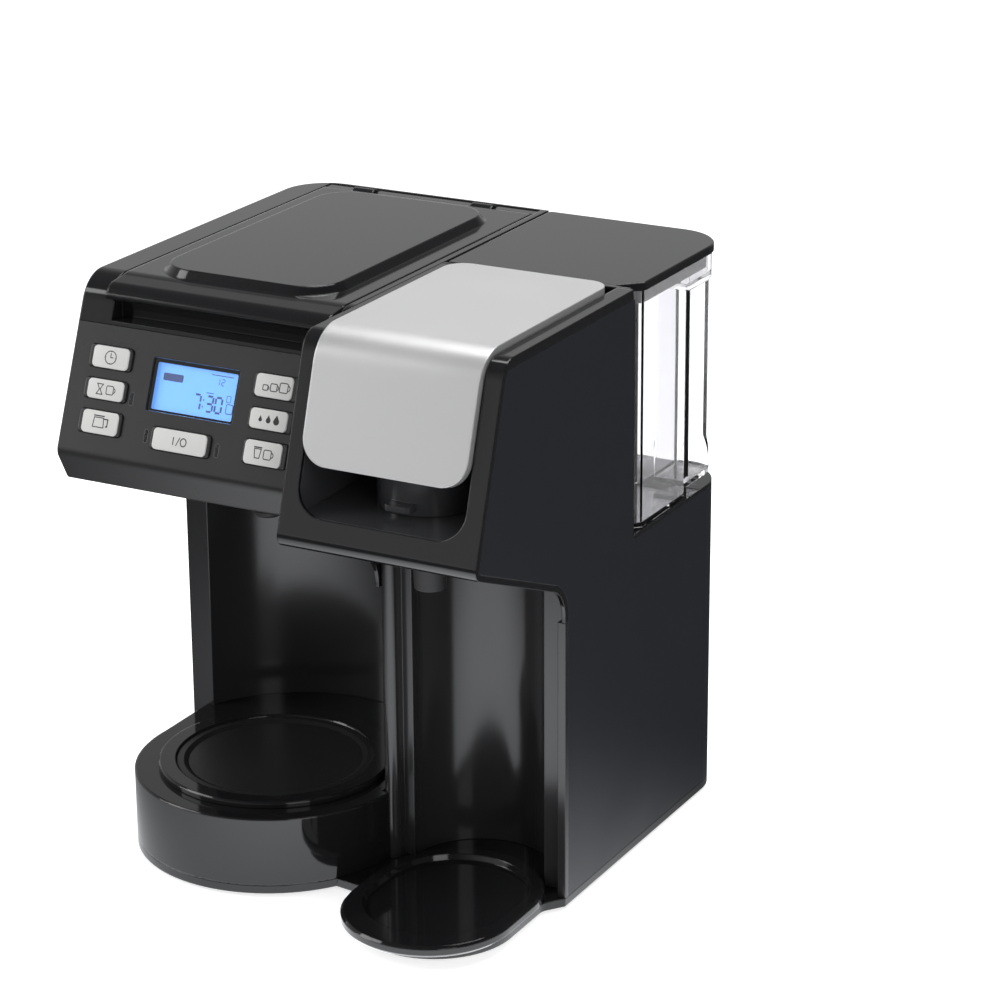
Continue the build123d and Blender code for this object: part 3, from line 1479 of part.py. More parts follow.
tank_foot_places = [(56.0, 62.0), (116.0, 62.0), (56.0, 131.0), (100.0, 131.0)]
tank_body = tank_plan(tank_left_x, 0, tank_floor_z, tank_shoulder_z, True)
tank_body_hollow = tank_plan(
    tank_left_x, tank_wall, tank_floor_z + tank_wall, tank_shoulder_z + 3, True
)
tank_rim = tank_plan(tank_rim_left_x, 0, tank_shoulder_z, tank_lid_seat_z, False)
tank_rim_hollow = tank_plan(
    tank_rim_left_x, tank_wall, tank_shoulder_z + tank_wall, tank_lid_seat_z + 1, False
)
handle_width = 3.2
handle_reach = back_y - 8
with BuildPart() as water_tank:
    add(tank_body + tank_rim)
    add(tank_body_hollow, mode=Mode.SUBTRACT)
    add(tank_rim_hollow, mode=Mode.SUBTRACT)
    with BuildSketch(Plane.XY.offset(tank_floor_z)):
        with Locations(*tank_foot_places):
            Rectangle(15, 10)
    extrude(amount=-foot_depth, taper=7)
    with BuildSketch(Plane.XY.offset(tank_floor_z)):
        with Locations((valve_x, valve_y)):
            Circle(11)
            Circle(9, mode=Mode.SUBTRACT)
    extrude(amount=-3)
    with BuildSketch(Plane.XY.offset(tank_floor_z - 1)):
        with Locations((valve_x, valve_y)):
            Circle(2.4)
            with PolarLocations(4.8, 4):
                Circle(1.3)
    extrude(amount=tank_wall + 2, mode=Mode.SUBTRACT)
    lug_outer = box_block(
        (tank_rim_left_x, tank_front_y, tank_shoulder_z - 14),
        (tank_rim_left_x + 15, tank_front_y + 13, tank_shoulder_z + 1),
    )
    lug_inner = box_block(
        (tank_rim_left_x + 2, tank_front_y + 2, tank_shoulder_z - 12),
        (tank_rim_left_x + 13, tank_front_y + 20, tank_shoulder_z),
    )
    add(lug_outer - lug_inner)
    handle_points = [
        (notch_y - 1, tank_shoulder_z + 1),
        (handle_reach, tank_shoulder_z + 1),
        (handle_reach, tank_floor_z + 22),
        (handle_reach - 14, tank_floor_z + 6),
        (notch_y - 1, tank_floor_z + 6),
    ]
    handle_outer = side_block(handle_points, [0, 0, 8, 8, 0], notch_x + 10, tank_right_x)
    handle_inner = side_block(
        handle_points, [0, 0, 8, 8, 0], notch_x + 9, right_x, inset=handle_width
    )
    handle_near = box_block((notch_x, notch_y - 5, 200), (right_x, notch_y - 0.2, height))
    handle_plan = tank_plan(tank_left_x, 0, tank_floor_z, height, False)
    add((handle_outer - handle_inner - handle_near) & handle_plan)
finish(water_tank, "water_tank")

tank_lid_gap = 0.3
lid_skirt_inset = tank_wall + 0.4
with BuildPart() as tank_lid:
    with BuildSketch(Plane.XY.offset(tank_lid_seat_z + tank_lid_gap)) as lid_sketch:
        with BuildLine():
            FilletPolyline(
                (tank_rim_left_x - 0.3, tank_front_y - 0.4),
                (right_x - 0.8, tank_front_y - 0.4),
                (right_x - 0.8, back_y - 0.8),
                (tank_rim_left_x - 0.3, back_y - 0.8),
                radius=[3, 0, back_right_radius - 0.8, 3],
                close=True,
            )
        make_face()
        corner = lid_sketch.vertices().filter_by(
            lambda v: abs(v.X - right_x + 0.8) < 0.1 and abs(v.Y - tank_front_y + 0.4) < 0.1
        )
        chamfer(corner, length=tank_chamfer)
    extrude(amount=height - tank_lid_seat_z - tank_lid_gap)
    chamfer(tank_lid.faces().sort_by(Axis.Z)[-1].outer_wire().edges(), length=0.8)
    skirt_outer = tank_plan(
        tank_rim_left_x, lid_skirt_inset, tank_lid_seat_z - 8, tank_lid_seat_z + 1, False
    )
    skirt_inner = tank_plan(
        tank_rim_left_x, lid_skirt_inset + 2, tank_lid_seat_z - 9, tank_lid_seat_z + 0.3, False
    )
    add(skirt_outer - skirt_inner)
finish(tank_lid, "tank_lid")

# Valve in the tank floor, held shut by a spring that shows under the tank
valve_flange_z = pin_top_z + running_gap
with BuildPart() as tank_valve:
    with BuildSketch(Plane.XY.offset(valve_flange_z)):
        with Locations((valve_x, valve_y)):
            Circle(7.4)
    extrude(amount=1.6)
    with BuildSketch(Plane.XY.offset(valve_flange_z)):
        with Locations((valve_x, valve_y)):
            Circle(2.1)
    extrude(amount=tank_floor_z + tank_wall + 2 - valve_flange_z)
    with BuildSketch(Plane.XY.offset(tank_floor_z + tank_wall + 0.3)):
        with Locations((valve_x, valve_y)):
            Circle(7)
    extrude(amount=2.2)
finish(tank_valve, "tank_valve")

spring_foot_z = valve_flange_z + 1.6 + spring_wire / 2 + 0.05
spring_head_z = tank_floor_z - spring_wire / 2 - 0.35
spring_steps = spring_turns * 4
spring_pitch = (spring_head_z - spring_foot_z) / spring_turns


def coil_point(step):
    """A point on the spring's centre line, counted in quarter turns."""
    angle = step * pi / 2
    return Vector(
        valve_x + spring_radius * cos(angle),
        valve_y + spring_radius * sin(angle),
        spring_foot_z + spring_pitch * step / 4,
    )


def coil_tangent(step):
    """The direction of the spring's centre line at a quarter turn."""
    angle = step * pi / 2
    rise = spring_pitch / (2 * pi * spring_radius)
    return Vector(-sin(angle), cos(angle), rise).normalized()


with BuildPart() as valve_spring:
    with BuildLine() as coil_path:
        for step in range(spring_steps):
            start = coil_point(step)
            end = coil_point(step + 1)
            start_way = coil_tangent(step)
            end_way = coil_tangent(step + 1)
            span = end - start
            curve_a = 2 * (1 - start_way.dot(end_way))
            curve_b = 2 * span.dot(start_way + end_way)
            curve_c = span.dot(span)
            reach = (-curve_b + sqrt(curve_b * curve_b + 4 * curve_a * curve_c)) / (2 * curve_a)
            middle = (start + end + (start_way - end_way) * reach) * 0.5
            TangentArc(start, middle, tangent=start_way)
            middle_way = end - start - (start_way + end_way) * reach
            TangentArc(middle, end, tangent=middle_way)
    with BuildSketch(Plane(origin=coil_point(0), z_dir=coil_tangent(0))):
        Circle(spring_wire / 2)
    sweep()
finish(valve_spring, "valve_spring")
spring_samples = 100 * spring_turns
spring_points = [coil_path.line @ (sample / spring_samples) for sample in range(spring_samples + 1)]
spring_least_gap = min(
    (spring_points[low] - spring_points[high]).length - spring_wire
    for low in range(len(spring_points))
    for high in range(low + 50, len(spring_points))
)
print(f"least gap between the turns of the valve spring: {spring_least_gap:.2f} mm")

# Cup rest, which slides out over the front of its lobe
with BuildPart() as cup_rest:
    with BuildSketch(Plane.XY.offset(base_top_z + running_gap)):
        with Locations((rest_x, rest_y)):
            SlotOverall(rest_length, rest_width, rotation=90)
    extrude(amount=rest_thickness - running_gap)
    chamfer(cup_rest.faces().sort_by(Axis.Z)[-1].outer_wire().edges(), length=1.6)
    chamfer(cup_rest.faces().sort_by(Axis.Z)[0].outer_wire().edges(), length=2.0)
    with BuildSketch(Plane.XY.offset(base_top_z + rest_thickness)):
        with Locations((rest_x, rest_y + 4)):
            SlotOverall(rest_length - 2 * rest_rim - 10, rest_width - 2 * rest_rim, rotation=90)
    extrude(amount=-rest_dish, taper=20, mode=Mode.SUBTRACT)
finish(cup_rest, "cup_rest")

# Water system behind the bays
pump_x = left_x + 89
pump_y = back_y - 52.5
pump_z = 44.0
with BuildPart() as pump:
    with BuildSketch(Plane.YZ.offset(pump_x - 34)):
        with Locations((pump_y, pump_z)):
            Circle(19)
    extrude(amount=46)
    with BuildSketch(Plane.YZ.offset(pump_x + 12)):
        with Locations((pump_y, pump_z)):
            Circle(13)
    extrude(amount=22)
    with BuildSketch(Plane.YZ.offset(pump_x - 40)):
        with Locations((pump_y, pump_z)):
            Circle(6)
    extrude(amount=80)
finish(pump, "pump")

with BuildPart() as pump_mount:
    with BuildSketch(Plane.XY.offset(base_top_z + seam)):
        with Locations((pump_x - 11, pump_y)):
            Rectangle(50, 46)
    extrude(amount=3)
    with BuildSketch(Plane.XY.offset(base_top_z + seam)):
        with Locations((pump_x - 26, pump_y), (pump_x + 2, pump_y)):
            Rectangle(7, 46)
    extrude(amount=pump_z - base_top_z)
    with BuildSketch(Plane.YZ.offset(pump_x - 50)):
        with Locations((pump_y, pump_z)):
            Circle(19.1)
    extrude(amount=90, mode=Mode.SUBTRACT)
finish(pump_mount, "pump_mount")

boiler_x = split_x + 15.8
boiler_y = back_y - 56.5
with BuildPart() as boiler:
    with BuildSketch(Plane.XY.offset(60)):
        with Locations((boiler_x, boiler_y)):
            Circle(26)
    extrude(amount=84)
    fillet(boiler.edges().filter_by(GeomType.CIRCLE), radius=8)
    with BuildSketch(Plane.XY.offset(50)):
        with Locations((boiler_x, boiler_y)):
            Circle(5)
    extrude(amount=104)
finish(boiler, "boiler")

with BuildPart() as boiler_bracket:
    with BuildSketch(Plane.XY.offset(base_top_z + seam)):
        with Locations((boiler_x, boiler_y)):
            Circle(24)
            Circle(20, mode=Mode.SUBTRACT)
    extrude(amount=60 - base_top_z)
    with BuildSketch(Plane.XY.offset(base_top_z + seam)):
        with Locations((boiler_x, boiler_y)):
            Rectangle(64, 30)
            Circle(20, mode=Mode.SUBTRACT)
    extrude(amount=2.5)
    add(boiler.part, mode=Mode.SUBTRACT)
    with BuildSketch(Plane.XZ.offset(-boiler_y - 30)):
        with Locations((boiler_x, 36)):
            Rectangle(16, 26)
    extrude(amount=60, mode=Mode.SUBTRACT)
finish(boiler_bracket, "boiler_bracket")

power_x = right_x - 49
power_y = back_y - 52.5
with BuildPart() as power_board:
    with BuildSketch(Plane.XY.offset(base_top_z + 8)):
        with Locations((power_x, power_y)):
            Rectangle(70, 60)
    extrude(amount=1.6)
    with BuildSketch(Plane.XY.offset(base_top_z + 9.6)):
        with Locations((power_x - 16, power_y - 12), (power_x + 12, power_y + 10)):
            Rectangle(20, 26)
    extrude(amount=22)
    with BuildSketch(Plane.XY.offset(base_top_z + seam)):
        with Locations((power_x, power_y)):
            with GridLocations(60, 50, 2, 2):
                Circle(3)
    extrude(amount=8)
finish(power_board, "power_board")


def hose_block(points, ends, radius):
    """A hose that follows a smooth path through its points, with its direction given at both ends."""
    with BuildPart() as hose:
        with BuildLine() as hose_path:
            Spline(*points, tangents=ends)
        with BuildSketch(Plane(origin=hose_path.line @ 0, z_dir=hose_path.line % 0)):
            Circle(radius)
        sweep()
    return hose.part


with BuildPart() as inlet_hose:
    add(
        hose_block(
            [
                (valve_x, valve_y, well_rim_z - well_depth - 14.2),
                (valve_x - 14, valve_y + 40, 120),
                (valve_x - 28, valve_y + 62, 62),
                (pump_x + 90, pump_y + 32, 42),
                (pump_x + 40.2, pump_y, pump_z),
            ],
            [(0, 0, -1), (-1, 0, 0)],
            hose_radius,
        )
    )
finish(inlet_hose, "inlet_hose")

with BuildPart() as brew_hose:
    add(
        hose_block(
            [
                (boiler_x, boiler_y, 154.2),
                (boiler_x - 50, boiler_y + 4, height - 144.5),
                (basket_x + 20, boiler_y - 10, height - 64.5),
                (basket_x + 10, boiler_y - 20, deck_top_z - wall - 0.2),
            ],
            [(0, 0, 1), (0, 0, 1)],
            hose_radius,
        )
    )
finish(brew_hose, "brew_hose")
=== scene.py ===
"""Looks of the two-way coffee maker: plastics, metal, clear tank and the marks on its panel.

Everything is in metres in the part's own frame: X to the right, Y to the back, Z up. Places and
sizes on the sloping panel are in millimetres: x across it, and s down its slope from its top seam.
"""

import json

import bpy
import numpy as np
from mathutils import Matrix, Vector


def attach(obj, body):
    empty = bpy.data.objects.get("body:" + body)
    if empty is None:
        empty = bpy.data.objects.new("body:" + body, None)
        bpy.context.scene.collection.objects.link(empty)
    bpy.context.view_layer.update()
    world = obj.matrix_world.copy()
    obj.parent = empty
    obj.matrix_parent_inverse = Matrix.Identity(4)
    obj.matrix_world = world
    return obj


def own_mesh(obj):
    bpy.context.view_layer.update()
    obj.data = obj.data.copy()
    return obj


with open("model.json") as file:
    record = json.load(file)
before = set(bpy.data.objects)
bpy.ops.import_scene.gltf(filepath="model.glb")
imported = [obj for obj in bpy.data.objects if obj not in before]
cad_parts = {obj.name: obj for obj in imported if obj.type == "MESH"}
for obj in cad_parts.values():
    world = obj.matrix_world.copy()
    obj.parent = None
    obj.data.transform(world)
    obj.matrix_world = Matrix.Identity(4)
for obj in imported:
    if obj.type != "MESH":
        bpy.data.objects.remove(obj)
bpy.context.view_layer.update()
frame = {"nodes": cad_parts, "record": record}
nodes = frame["nodes"]
mm = 0.001


# Camera at the photograph's viewing angle
camera_place = Vector((0.9688, -1.6432, 0.8916))
camera_way = Vector((-0.44901, 0.82804, -0.33578)).normalized()
camera_roll = np.radians(-0.348)
level_axis = camera_way.cross(Vector((0, 0, 1))).normalized()
raised_axis = level_axis.cross(camera_way).normalized()
right_axis = level_axis * np.cos(camera_roll) + raised_axis * np.sin(camera_roll)
up_axis = raised_axis * np.cos(camera_roll) - level_axis * np.sin(camera_roll)
camera_data = bpy.data.cameras.new("camera")
camera_data.lens = 122.35
camera_data.sensor_width = 36.0
camera_data.clip_start = 0.05
camera_data.clip_end = 60.0
camera = bpy.data.objects.new("camera", camera_data)
camera_turn = Matrix((right_axis, up_axis, -camera_way)).transposed()
camera.matrix_world = Matrix.Translation(camera_place) @ camera_turn.to_4x4()
bpy.context.scene.collection.objects.link(camera)
bpy.context.scene.camera = camera
bpy.context.scene.view_settings.view_transform = "Standard"


# Plastics, metals and coatings
def add_node(tree, kind, inputs=None, **settings):
    """A shader node with its settings and socket values filled in."""
    node = tree.nodes.new(kind)
    for name, value in settings.items():
        setattr(node, name, value)
    for name, value in (inputs or {}).items():
        node.inputs[name].default_value = value
    return node


def join(tree, *links):
    """Links sockets: each link is a node, its output, the next node and its input."""
    for source, output, target, socket in links:
        tree.links.new(source.outputs[output], target.inputs[socket])


def principled(name):
    """A new material, its node tree and its Principled shader."""
    material = bpy.data.materials.new(name)
    material.use_nodes = True
    return material, material.node_tree, material.node_tree.nodes["Principled BSDF"]


def drifting_roughness(tree, shader, place, roughness):
    """Roughness that drifts slowly over the piece, from 0.9 to 1.12 times its value."""
    drift = add_node(tree, "ShaderNodeTexNoise", {"Scale": 14.0, "Detail": 3.0})
    spread = add_node(
        tree,
        "ShaderNodeMapRange",
        {
            "From Min": 0.3,
            "From Max": 0.7,
            "To Min": roughness * 0.9,
            "To Max": roughness * 1.12,
        },
    )
    join(
        tree,
        (place, "Object", drift, "Vector"),
        (drift, "Fac", spread, "Value"),
        (spread, "Result", shader, "Roughness"),
    )


def finish_material(name, colour, roughness, grain=0.0, grain_size=900, edge=0.5, extra=None):
    """A moulded or coated finish: drifting roughness, softened edges and fine grain as bump."""
    material, tree, shader = principled(name)
    shader.inputs["Base Color"].default_value = (*colour, 1)
    for key, value in (extra or {}).items():
        shader.inputs[key].default_value = value
    place = add_node(tree, "ShaderNodeTexCoord")
    drifting_roughness(tree, shader, place, roughness)
    soft_edge = add_node(tree, "ShaderNodeBevel", {"Radius": edge * mm}, samples=6)
    if not grain:
        join(tree, (soft_edge, "Normal", shader, "Normal"))
        return material
    speckle = add_node(tree, "ShaderNodeTexNoise", {"Scale": grain_size, "Detail": 2.0})
    bump = add_node(tree, "ShaderNodeBump", {"Strength": grain, "Distance": 0.0002})
    join(
        tree,
        (place, "Object", speckle, "Vector"),
        (speckle, "Fac", bump, "Height"),
        (soft_edge, "Normal", bump, "Normal"),
        (bump, "Normal", shader, "Normal"),
    )
    return material


# Each finish: colour, roughness, grain, how fine the grain is, softened edge, other shader values
finish_table = {
    "gloss_black": ((0.011, 0.0112, 0.0122), 0.07, 0.02, 260, 1.2),
    "lid_black": ((0.011, 0.0112, 0.0122), 0.09, 0.02, 260, 1.8),
    # Satin lining of the bays and the head's floor: its black is raised above the gloss black,
    # painted light that lifts the shade inside the bays
    "lining_black_painted_light": ((0.024, 0.024, 0.0255), 0.16, 0.03, 300, 0.8),
    # Pieces in the recess: the gloss black painted lighter, which is painted light that lifts the
    # shade in the recess
    "recess_black_painted_light": ((0.055, 0.056, 0.060), 0.22, 0.03, 300, 1.0),
    "panel_black": ((0.024, 0.024, 0.025), 0.3, 0.05, 700, 0.6),
    "satin_charcoal": ((0.021, 0.0235, 0.030), 0.4, 0.25, 1500, 0.6, {"Specular IOR Level": 0.35}),
    "matte_black": ((0.018, 0.018, 0.019), 0.55, 0.3, 1200),
    "plate_coating": ((0.016, 0.016, 0.017), 0.38, 0.5, 1600),
    "silver_paint": ((0.65, 0.65, 0.655), 0.34, 0.12, 2600, 1.2, {"Metallic": 0.55}),
    "button_grey": ((0.69, 0.69, 0.675), 0.42, 0.15, 1500),
    "steel": ((0.55, 0.55, 0.55), 0.3, 0.1, 900, 0.5, {"Metallic": 1.0}),
    "rubber": ((0.02, 0.02, 0.02), 0.7, 0.4),
    "silicone": ((0.62, 0.62, 0.60), 0.5, 0.1),
    "board_green": ((0.02, 0.14, 0.06), 0.4, 0.1),
    "aluminium": ((0.72, 0.72, 0.73), 0.35, 0.2, 900, 0.5, {"Metallic": 1.0}),
    "icon_ink": ((0.02, 0.02, 0.024), 0.5),
    "segment_ink": ((0.015, 0.05, 0.20), 0.5),
    "window_line": ((0.10, 0.10, 0.105), 0.3),
}
finish = {name: finish_material(name, *row) for name, row in finish_table.items()}


def clear_material(name, tint, edge_tint, roughness=0.02):
    """Clear moulded plastic that darkens where it is seen edge-on and casts no hard shadow."""
    material, tree, shader = principled(name)
    shader.inputs["Roughness"].default_value = roughness
    shader.inputs["IOR"].default_value = 1.49
    shader.inputs["Transmission Weight"].default_value = 1.0
    facing = add_node(tree, "ShaderNodeLayerWeight", {"Blend": 0.45})
    ramp = add_node(tree, "ShaderNodeValToRGB")
    ramp.color_ramp.elements[0].position = 0.72
    ramp.color_ramp.elements[0].color = (*tint, 1)
    ramp.color_ramp.elements[1].position = 1.0
    ramp.color_ramp.elements[1].color = (*edge_tint, 1)
    place = add_node(tree, "ShaderNodeTexCoord")
    ripple = add_node(tree, "ShaderNodeTexNoise", {"Scale": 30.0, "Detail": 1.0})
    bump = add_node(tree, "ShaderNodeBump", {"Strength": 0.03, "Distance": 0.001})
    soft_edge = add_node(tree, "ShaderNodeBevel", {"Radius": 0.5 * mm}, samples=4)
    light_path = add_node(tree, "ShaderNodeLightPath")
    through = add_node(tree, "ShaderNodeBsdfTransparent", {"Color": (*tint, 1)})
    mix = add_node(tree, "ShaderNodeMixShader")
    join(
        tree,
        (facing, "Facing", ramp, "Fac"),
        (ramp, "Color", shader, "Base Color"),
        (place, "Object", ripple, "Vector"),
        (ripple, "Fac", bump, "Height"),
        (soft_edge, "Normal", bump, "Normal"),
        (bump, "Normal", shader, "Normal"),
        (light_path, "Is Shadow Ray", mix, "Fac"),
        (shader, "BSDF", mix, 1),
        (through, "BSDF", mix, 2),
        (mix, "Shader", tree.nodes["Material Output"], "Surface"),
    )
    return material


clear_plastic = clear_material("clear_plastic", (0.965, 0.965, 0.98), (0.50, 0.47, 0.62))
window_plastic = clear_material("window_plastic", (0.97, 0.985, 1.0), (0.8, 0.85, 0.95), 0.05)
lens_plastic = clear_material("lens_plastic", (0.20, 0.20, 0.21), (0.1, 0.1, 0.1), 0.25)


def lit_display(name):
    """A backlit blue panel that glows evenly, with a slow drift in its roughness."""
    material, tree, shader = principled(name)
    shader.inputs["Base Color"].default_value = (0.10, 0.32, 0.80, 1)
    shader.inputs["Emission Color"].default_value = (0.12, 0.29, 0.68, 1)
    shader.inputs["Emission Strength"].default_value = 0.85
    drifting_roughness(tree, shader, add_node(tree, "ShaderNodeTexCoord"), 0.35)
    return material


display_blue = lit_display("display_blue")

slot_finish = {
    "gloss_black": finish["gloss_black"],
    "satin_charcoal": finish["satin_charcoal"],
    "matte_black": finish["matte_black"],
    "silver_paint": finish["silver_paint"],
    "button_grey": finish["button_grey"],
    "plate_coating": finish["plate_coating"],
    "clear_tank": clear_plastic,
    "steel": finish["steel"],
    "spring_steel": finish["steel"],
    "rubber": finish["rubber"],
    "silicone": finish["silicone"],
    "display": display_blue,
    "display_glass": window_plastic,
    "board_green": finish["board_green"],
    "aluminium": finish["aluminium"],
    "boiler_steel": finish["steel"],
    "mesh": finish["steel"],
}
special_finish = {
    "basket_lid": finish["lid_black"],
    # The pod holder, tub and lid carrier sit in the shaded recess and take the lighter black with
    # painted light in it
    "pod_holder": finish["recess_black_painted_light"],
    "serve_tub": finish["recess_black_painted_light"],
    "serve_lid_carrier": finish["recess_black_painted_light"],
    "control_fascia": finish["panel_black"],
    # The bays' linings and the head's floor take the satin black with painted light in it
    "carafe_bay_liner": finish["lining_black_painted_light"],
    "serve_bay_liner": finish["lining_black_painted_light"],
    "head_floor": finish["lining_black_painted_light"],
    "indicator_lenses": lens_plastic,
    **{name: finish["panel_black"] for name in nodes if name.endswith("_button")},
}
slot_of = {row["node"]: row["material_slot"] for row in frame["record"]["subparts"]}
for name, thing in nodes.items():
    thing.data.materials.clear()
    thing.data.materials.append(special_finish.get(name) or slot_finish[slot_of[name]])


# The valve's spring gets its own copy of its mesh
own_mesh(nodes["valve_spring"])


def new_piece(name, points, faces, material, body, smooth=True):
    """A mesh object from arrays of points and faces that rides on a body."""
    mesh = bpy.data.meshes.new(name)
    faces = [list(map(int, face)) for face in faces]
    mesh.from_pydata(np.asarray(points, float).tolist(), [], faces)
    mesh.materials.append(material)
    if smooth:
        mesh.shade_smooth()
    piece = bpy.data.objects.new(name, mesh)
    bpy.context.scene.collection.objects.link(piece)
    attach(piece, body)
    return piece


# The sloping panel's own frame, with its top seam as the line s = 0
panel_tilt = np.radians(21.6)
panel_foot_y, panel_foot_to_seam, panel_seam_z = -0.122, 0.0721, 0.3286
panel_seam_y = panel_foot_y + panel_foot_to_seam * np.tan(panel_tilt)
panel_origin = np.array([0.0, panel_seam_y, panel_seam_z])
panel_right = np.array([1.0, 0.0, 0.0])
panel_up = np.array([0.0, np.sin(panel_tilt), np.cos(panel_tilt)])
panel_out = np.array([0.0, -np.cos(panel_tilt), np.sin(panel_tilt)])


def on_panel(flat, lift):
    """Flat points (x, -s) in mm on the panel: origin + x right + (-s) up the slope + lift out."""
    flat = np.asarray(flat, float) * mm
    across, up_slope = flat[:, :1] * panel_right, flat[:, 1:2] * panel_up
    return panel_origin + across + up_slope + lift * mm * panel_out


def stroke(path, width, closed=False):
    """A ribbon of even width along a flat path.

    Each point steps to both sides, square to its mean direction, by half the width divided by
    the cosine of half the turn at that point.
    """
    path = np.asarray(path, float)
    if closed:
        ahead = np.roll(path, -1, 0) - path
        behind = path - np.roll(path, 1, 0)
    else:
        ahead = np.vstack([path[1:] - path[:-1], path[-1:] - path[-2:-1]])
        behind = np.vstack([path[1:2] - path[:1], path[1:] - path[:-1]])
    ahead = ahead / np.linalg.norm(ahead, axis=1, keepdims=True)
    behind = behind / np.linalg.norm(behind, axis=1, keepdims=True)
    mean = ahead + behind
    mean = mean / np.linalg.norm(mean, axis=1, keepdims=True)
    side = np.stack([-mean[:, 1], mean[:, 0]], 1)
    stretch = 1 / np.clip((mean * ahead).sum(1, keepdims=True), 0.5, 1)
    low, high = path - side * stretch * width / 2, path + side * stretch * width / 2
    count = len(path)
    first = np.arange(count if closed else count - 1)
    after = (first + 1) % count
    return np.vstack([low, high]), np.stack([first, after, after + count, first + count], 1)


def ring_path(x, y, radius_x, radius_y=None, start=0.0, sweep=360.0, steps=40):
    """Points round an ellipse or part of one: (x + rx cos a, y + ry sin a), a from start on."""
    spaces = steps if sweep == 360.0 else steps - 1
    angle = np.radians(start + sweep * np.arange(steps) / spaces)
    radius_y = radius_y or radius_x
    return np.stack([x + radius_x * np.cos(angle), y + radius_y * np.sin(angle)], 1)


def filled(path):
    """A flat patch bounded by a closed path."""
    path = np.asarray(path, float)
    return path, [np.arange(len(path))]


def rounded_path(x, y, size_x, size_y, radius, steps=5):
    """Points round a rectangle with quarter circles for corners: centre + r (cos a, sin a)."""
    turns = np.linspace(0, 90, steps)
    corners = []
    for start, sign_x, sign_y in ((0, 1, 1), (90, -1, 1), (180, -1, -1), (270, 1, -1)):
        angle = np.radians(start + turns)
        centre_x = x + sign_x * (size_x / 2 - radius)
        centre_y = y + sign_y * (size_y / 2 - radius)
        along_x = centre_x + radius * np.cos(angle)
        along_y = centre_y + radius * np.sin(angle)
        corners.append(np.stack([along_x, along_y], 1))
    return np.vstack(corners)


def panel_mark(name, shapes, lift, material, body, depth=0.04):
    """Several flat shapes joined in one thin mark that lies on the panel, depth above its lift."""
    points, faces, base = [], [], 0
    for shape_points, shape_faces in shapes:
        points.append(shape_points)
        faces += [list(np.asarray(face) + base) for face in shape_faces]
        base += len(shape_points)
    flat = np.vstack(points)
    return new_piece(name, on_panel(flat, lift + depth), faces, material, body, smooth=False)


# Buttons: middle x and s, width and height of each pale cap
button_places = {
    "clock_button": (-121.6, 18.6, 24.8, 12.8),
    "delay_button": (-121.6, 37.4, 24.8, 11.6),
    "carafe_button": (-121.6, 56.6, 24.8, 13.4),
    "brew_button": (-66.3, 59.8, 36.4, 12.6),
    "size_button": (-10.6, 19.9, 24.8, 13.2),
    "strength_button": (-10.6, 38.8, 24.8, 11.6),
    "single_button": (-10.6, 58.1, 24.8, 13.8),
}
button_proud = 1.5
cap_height = 0.6
cap_corner_radius = 2.7
cap_corner_steps = 6
icon_scale = 0.88
icon_line = 0.62


def button_cap(name, x, s, size_x, size_s, body):
    """A pale cap on a button: outlines set in by h (1 - sin a) at heights h cos a, a from 90 to 0."""
    angle = np.radians(np.linspace(90, 0, 5))
    rings = [(0.0, 0.0)]
    rings += [(cap_height * (1 - np.sin(a)), cap_height * np.cos(a)) for a in angle]
    points = []
    for inset, rise in rings:
        size = (size_x - 2 * inset, size_s - 2 * inset)
        outline = rounded_path(x, -s, *size, cap_corner_radius - inset, cap_corner_steps)
        points.append(on_panel(outline, button_proud + rise))
    count = 4 * cap_corner_steps
    first = np.arange(count)
    after = (first + 1) % count
    faces = []
    for ring in range(len(rings) - 1):
        low, high = ring * count, (ring + 1) * count
        faces += np.stack([first + low, after + low, after + high, first + high], 1).tolist()
    faces.append((first + (len(rings) - 1) * count).tolist())
    faces.append((first[::-1]).tolist())
    return new_piece(name, np.vstack(points), faces, finish["button_grey"], body)


def mug_shapes(x, y, width, tall, line):
    """A mug: a rounded body and a half ellipse for a handle on its right."""
    body = rounded_path(x, y, width, tall, tall * 0.16)
    handle = ring_path(x + width / 2, y, tall * 0.26, tall * 0.28, -90, 180, 14)
    return [stroke(body, line, True), stroke(handle, line)]


def clock_icon():
    """A clock face with two hands and four ticks."""
    ticks = (
        [(0, 3.6), (0, 4.2)],
        [(0, -4.2), (0, -3.6)],
        [(-4.2, 0), (-3.6, 0)],
        [(3.6, 0), (4.2, 0)],
    )
    face = stroke(ring_path(0, 0, 4.3), icon_line, True)
    hands = stroke([(0, 2.9), (0, 0), (2.0, 0)], icon_line)
    return [face, hands] + [stroke(tick, 0.5) for tick in ticks]


def delay_icon():
    """A sand glass beside a mug."""
    glass = [(-6.6, 3.4), (-2.0, 3.4), (-4.0, 0), (-2.0, -3.4), (-6.6, -3.4), (-4.6, 0)]
    return [stroke(glass, icon_line, True)] + mug_shapes(3.6, 0, 5.4, 5.6, icon_line)


def carafe_icon():
    """A carafe with its handle and lid."""
    pot = [(-4.6, 3.2), (2.6, 3.2), (3.2, -3.2), (-5.2, -3.2)]
    handle = [(2.7, 2.6), (6.0, 2.6), (6.0, -2.2), (4.6, -2.2)]
    lid = [(-5.2, 4.4), (3.2, 4.4)]
    bold = icon_line * 1.3
    return [stroke(pot, icon_line, True), stroke(handle, bold), stroke(lid, bold)]


def brew_icon():
    """The on and off mark: a bar, a slash and a ring."""
    bold = icon_line * 1.2
    return [
        stroke([(-4.6, -2.6), (-4.6, 2.6)], bold),
        stroke([(-2.2, -2.9), (0.2, 2.9)], icon_line),
        stroke(ring_path(3.2, 0, 2.2, 2.6), bold, True),
    ]


def size_icon():
    """Three mugs that grow to the right."""
    small = mug_shapes(-6.2, -1.4, 3.6, 3.4, icon_line)
    middle = mug_shapes(0, -0.7, 4.8, 4.8, icon_line)
    return small + middle + mug_shapes(7.4, 0, 6.0, 6.2, icon_line)


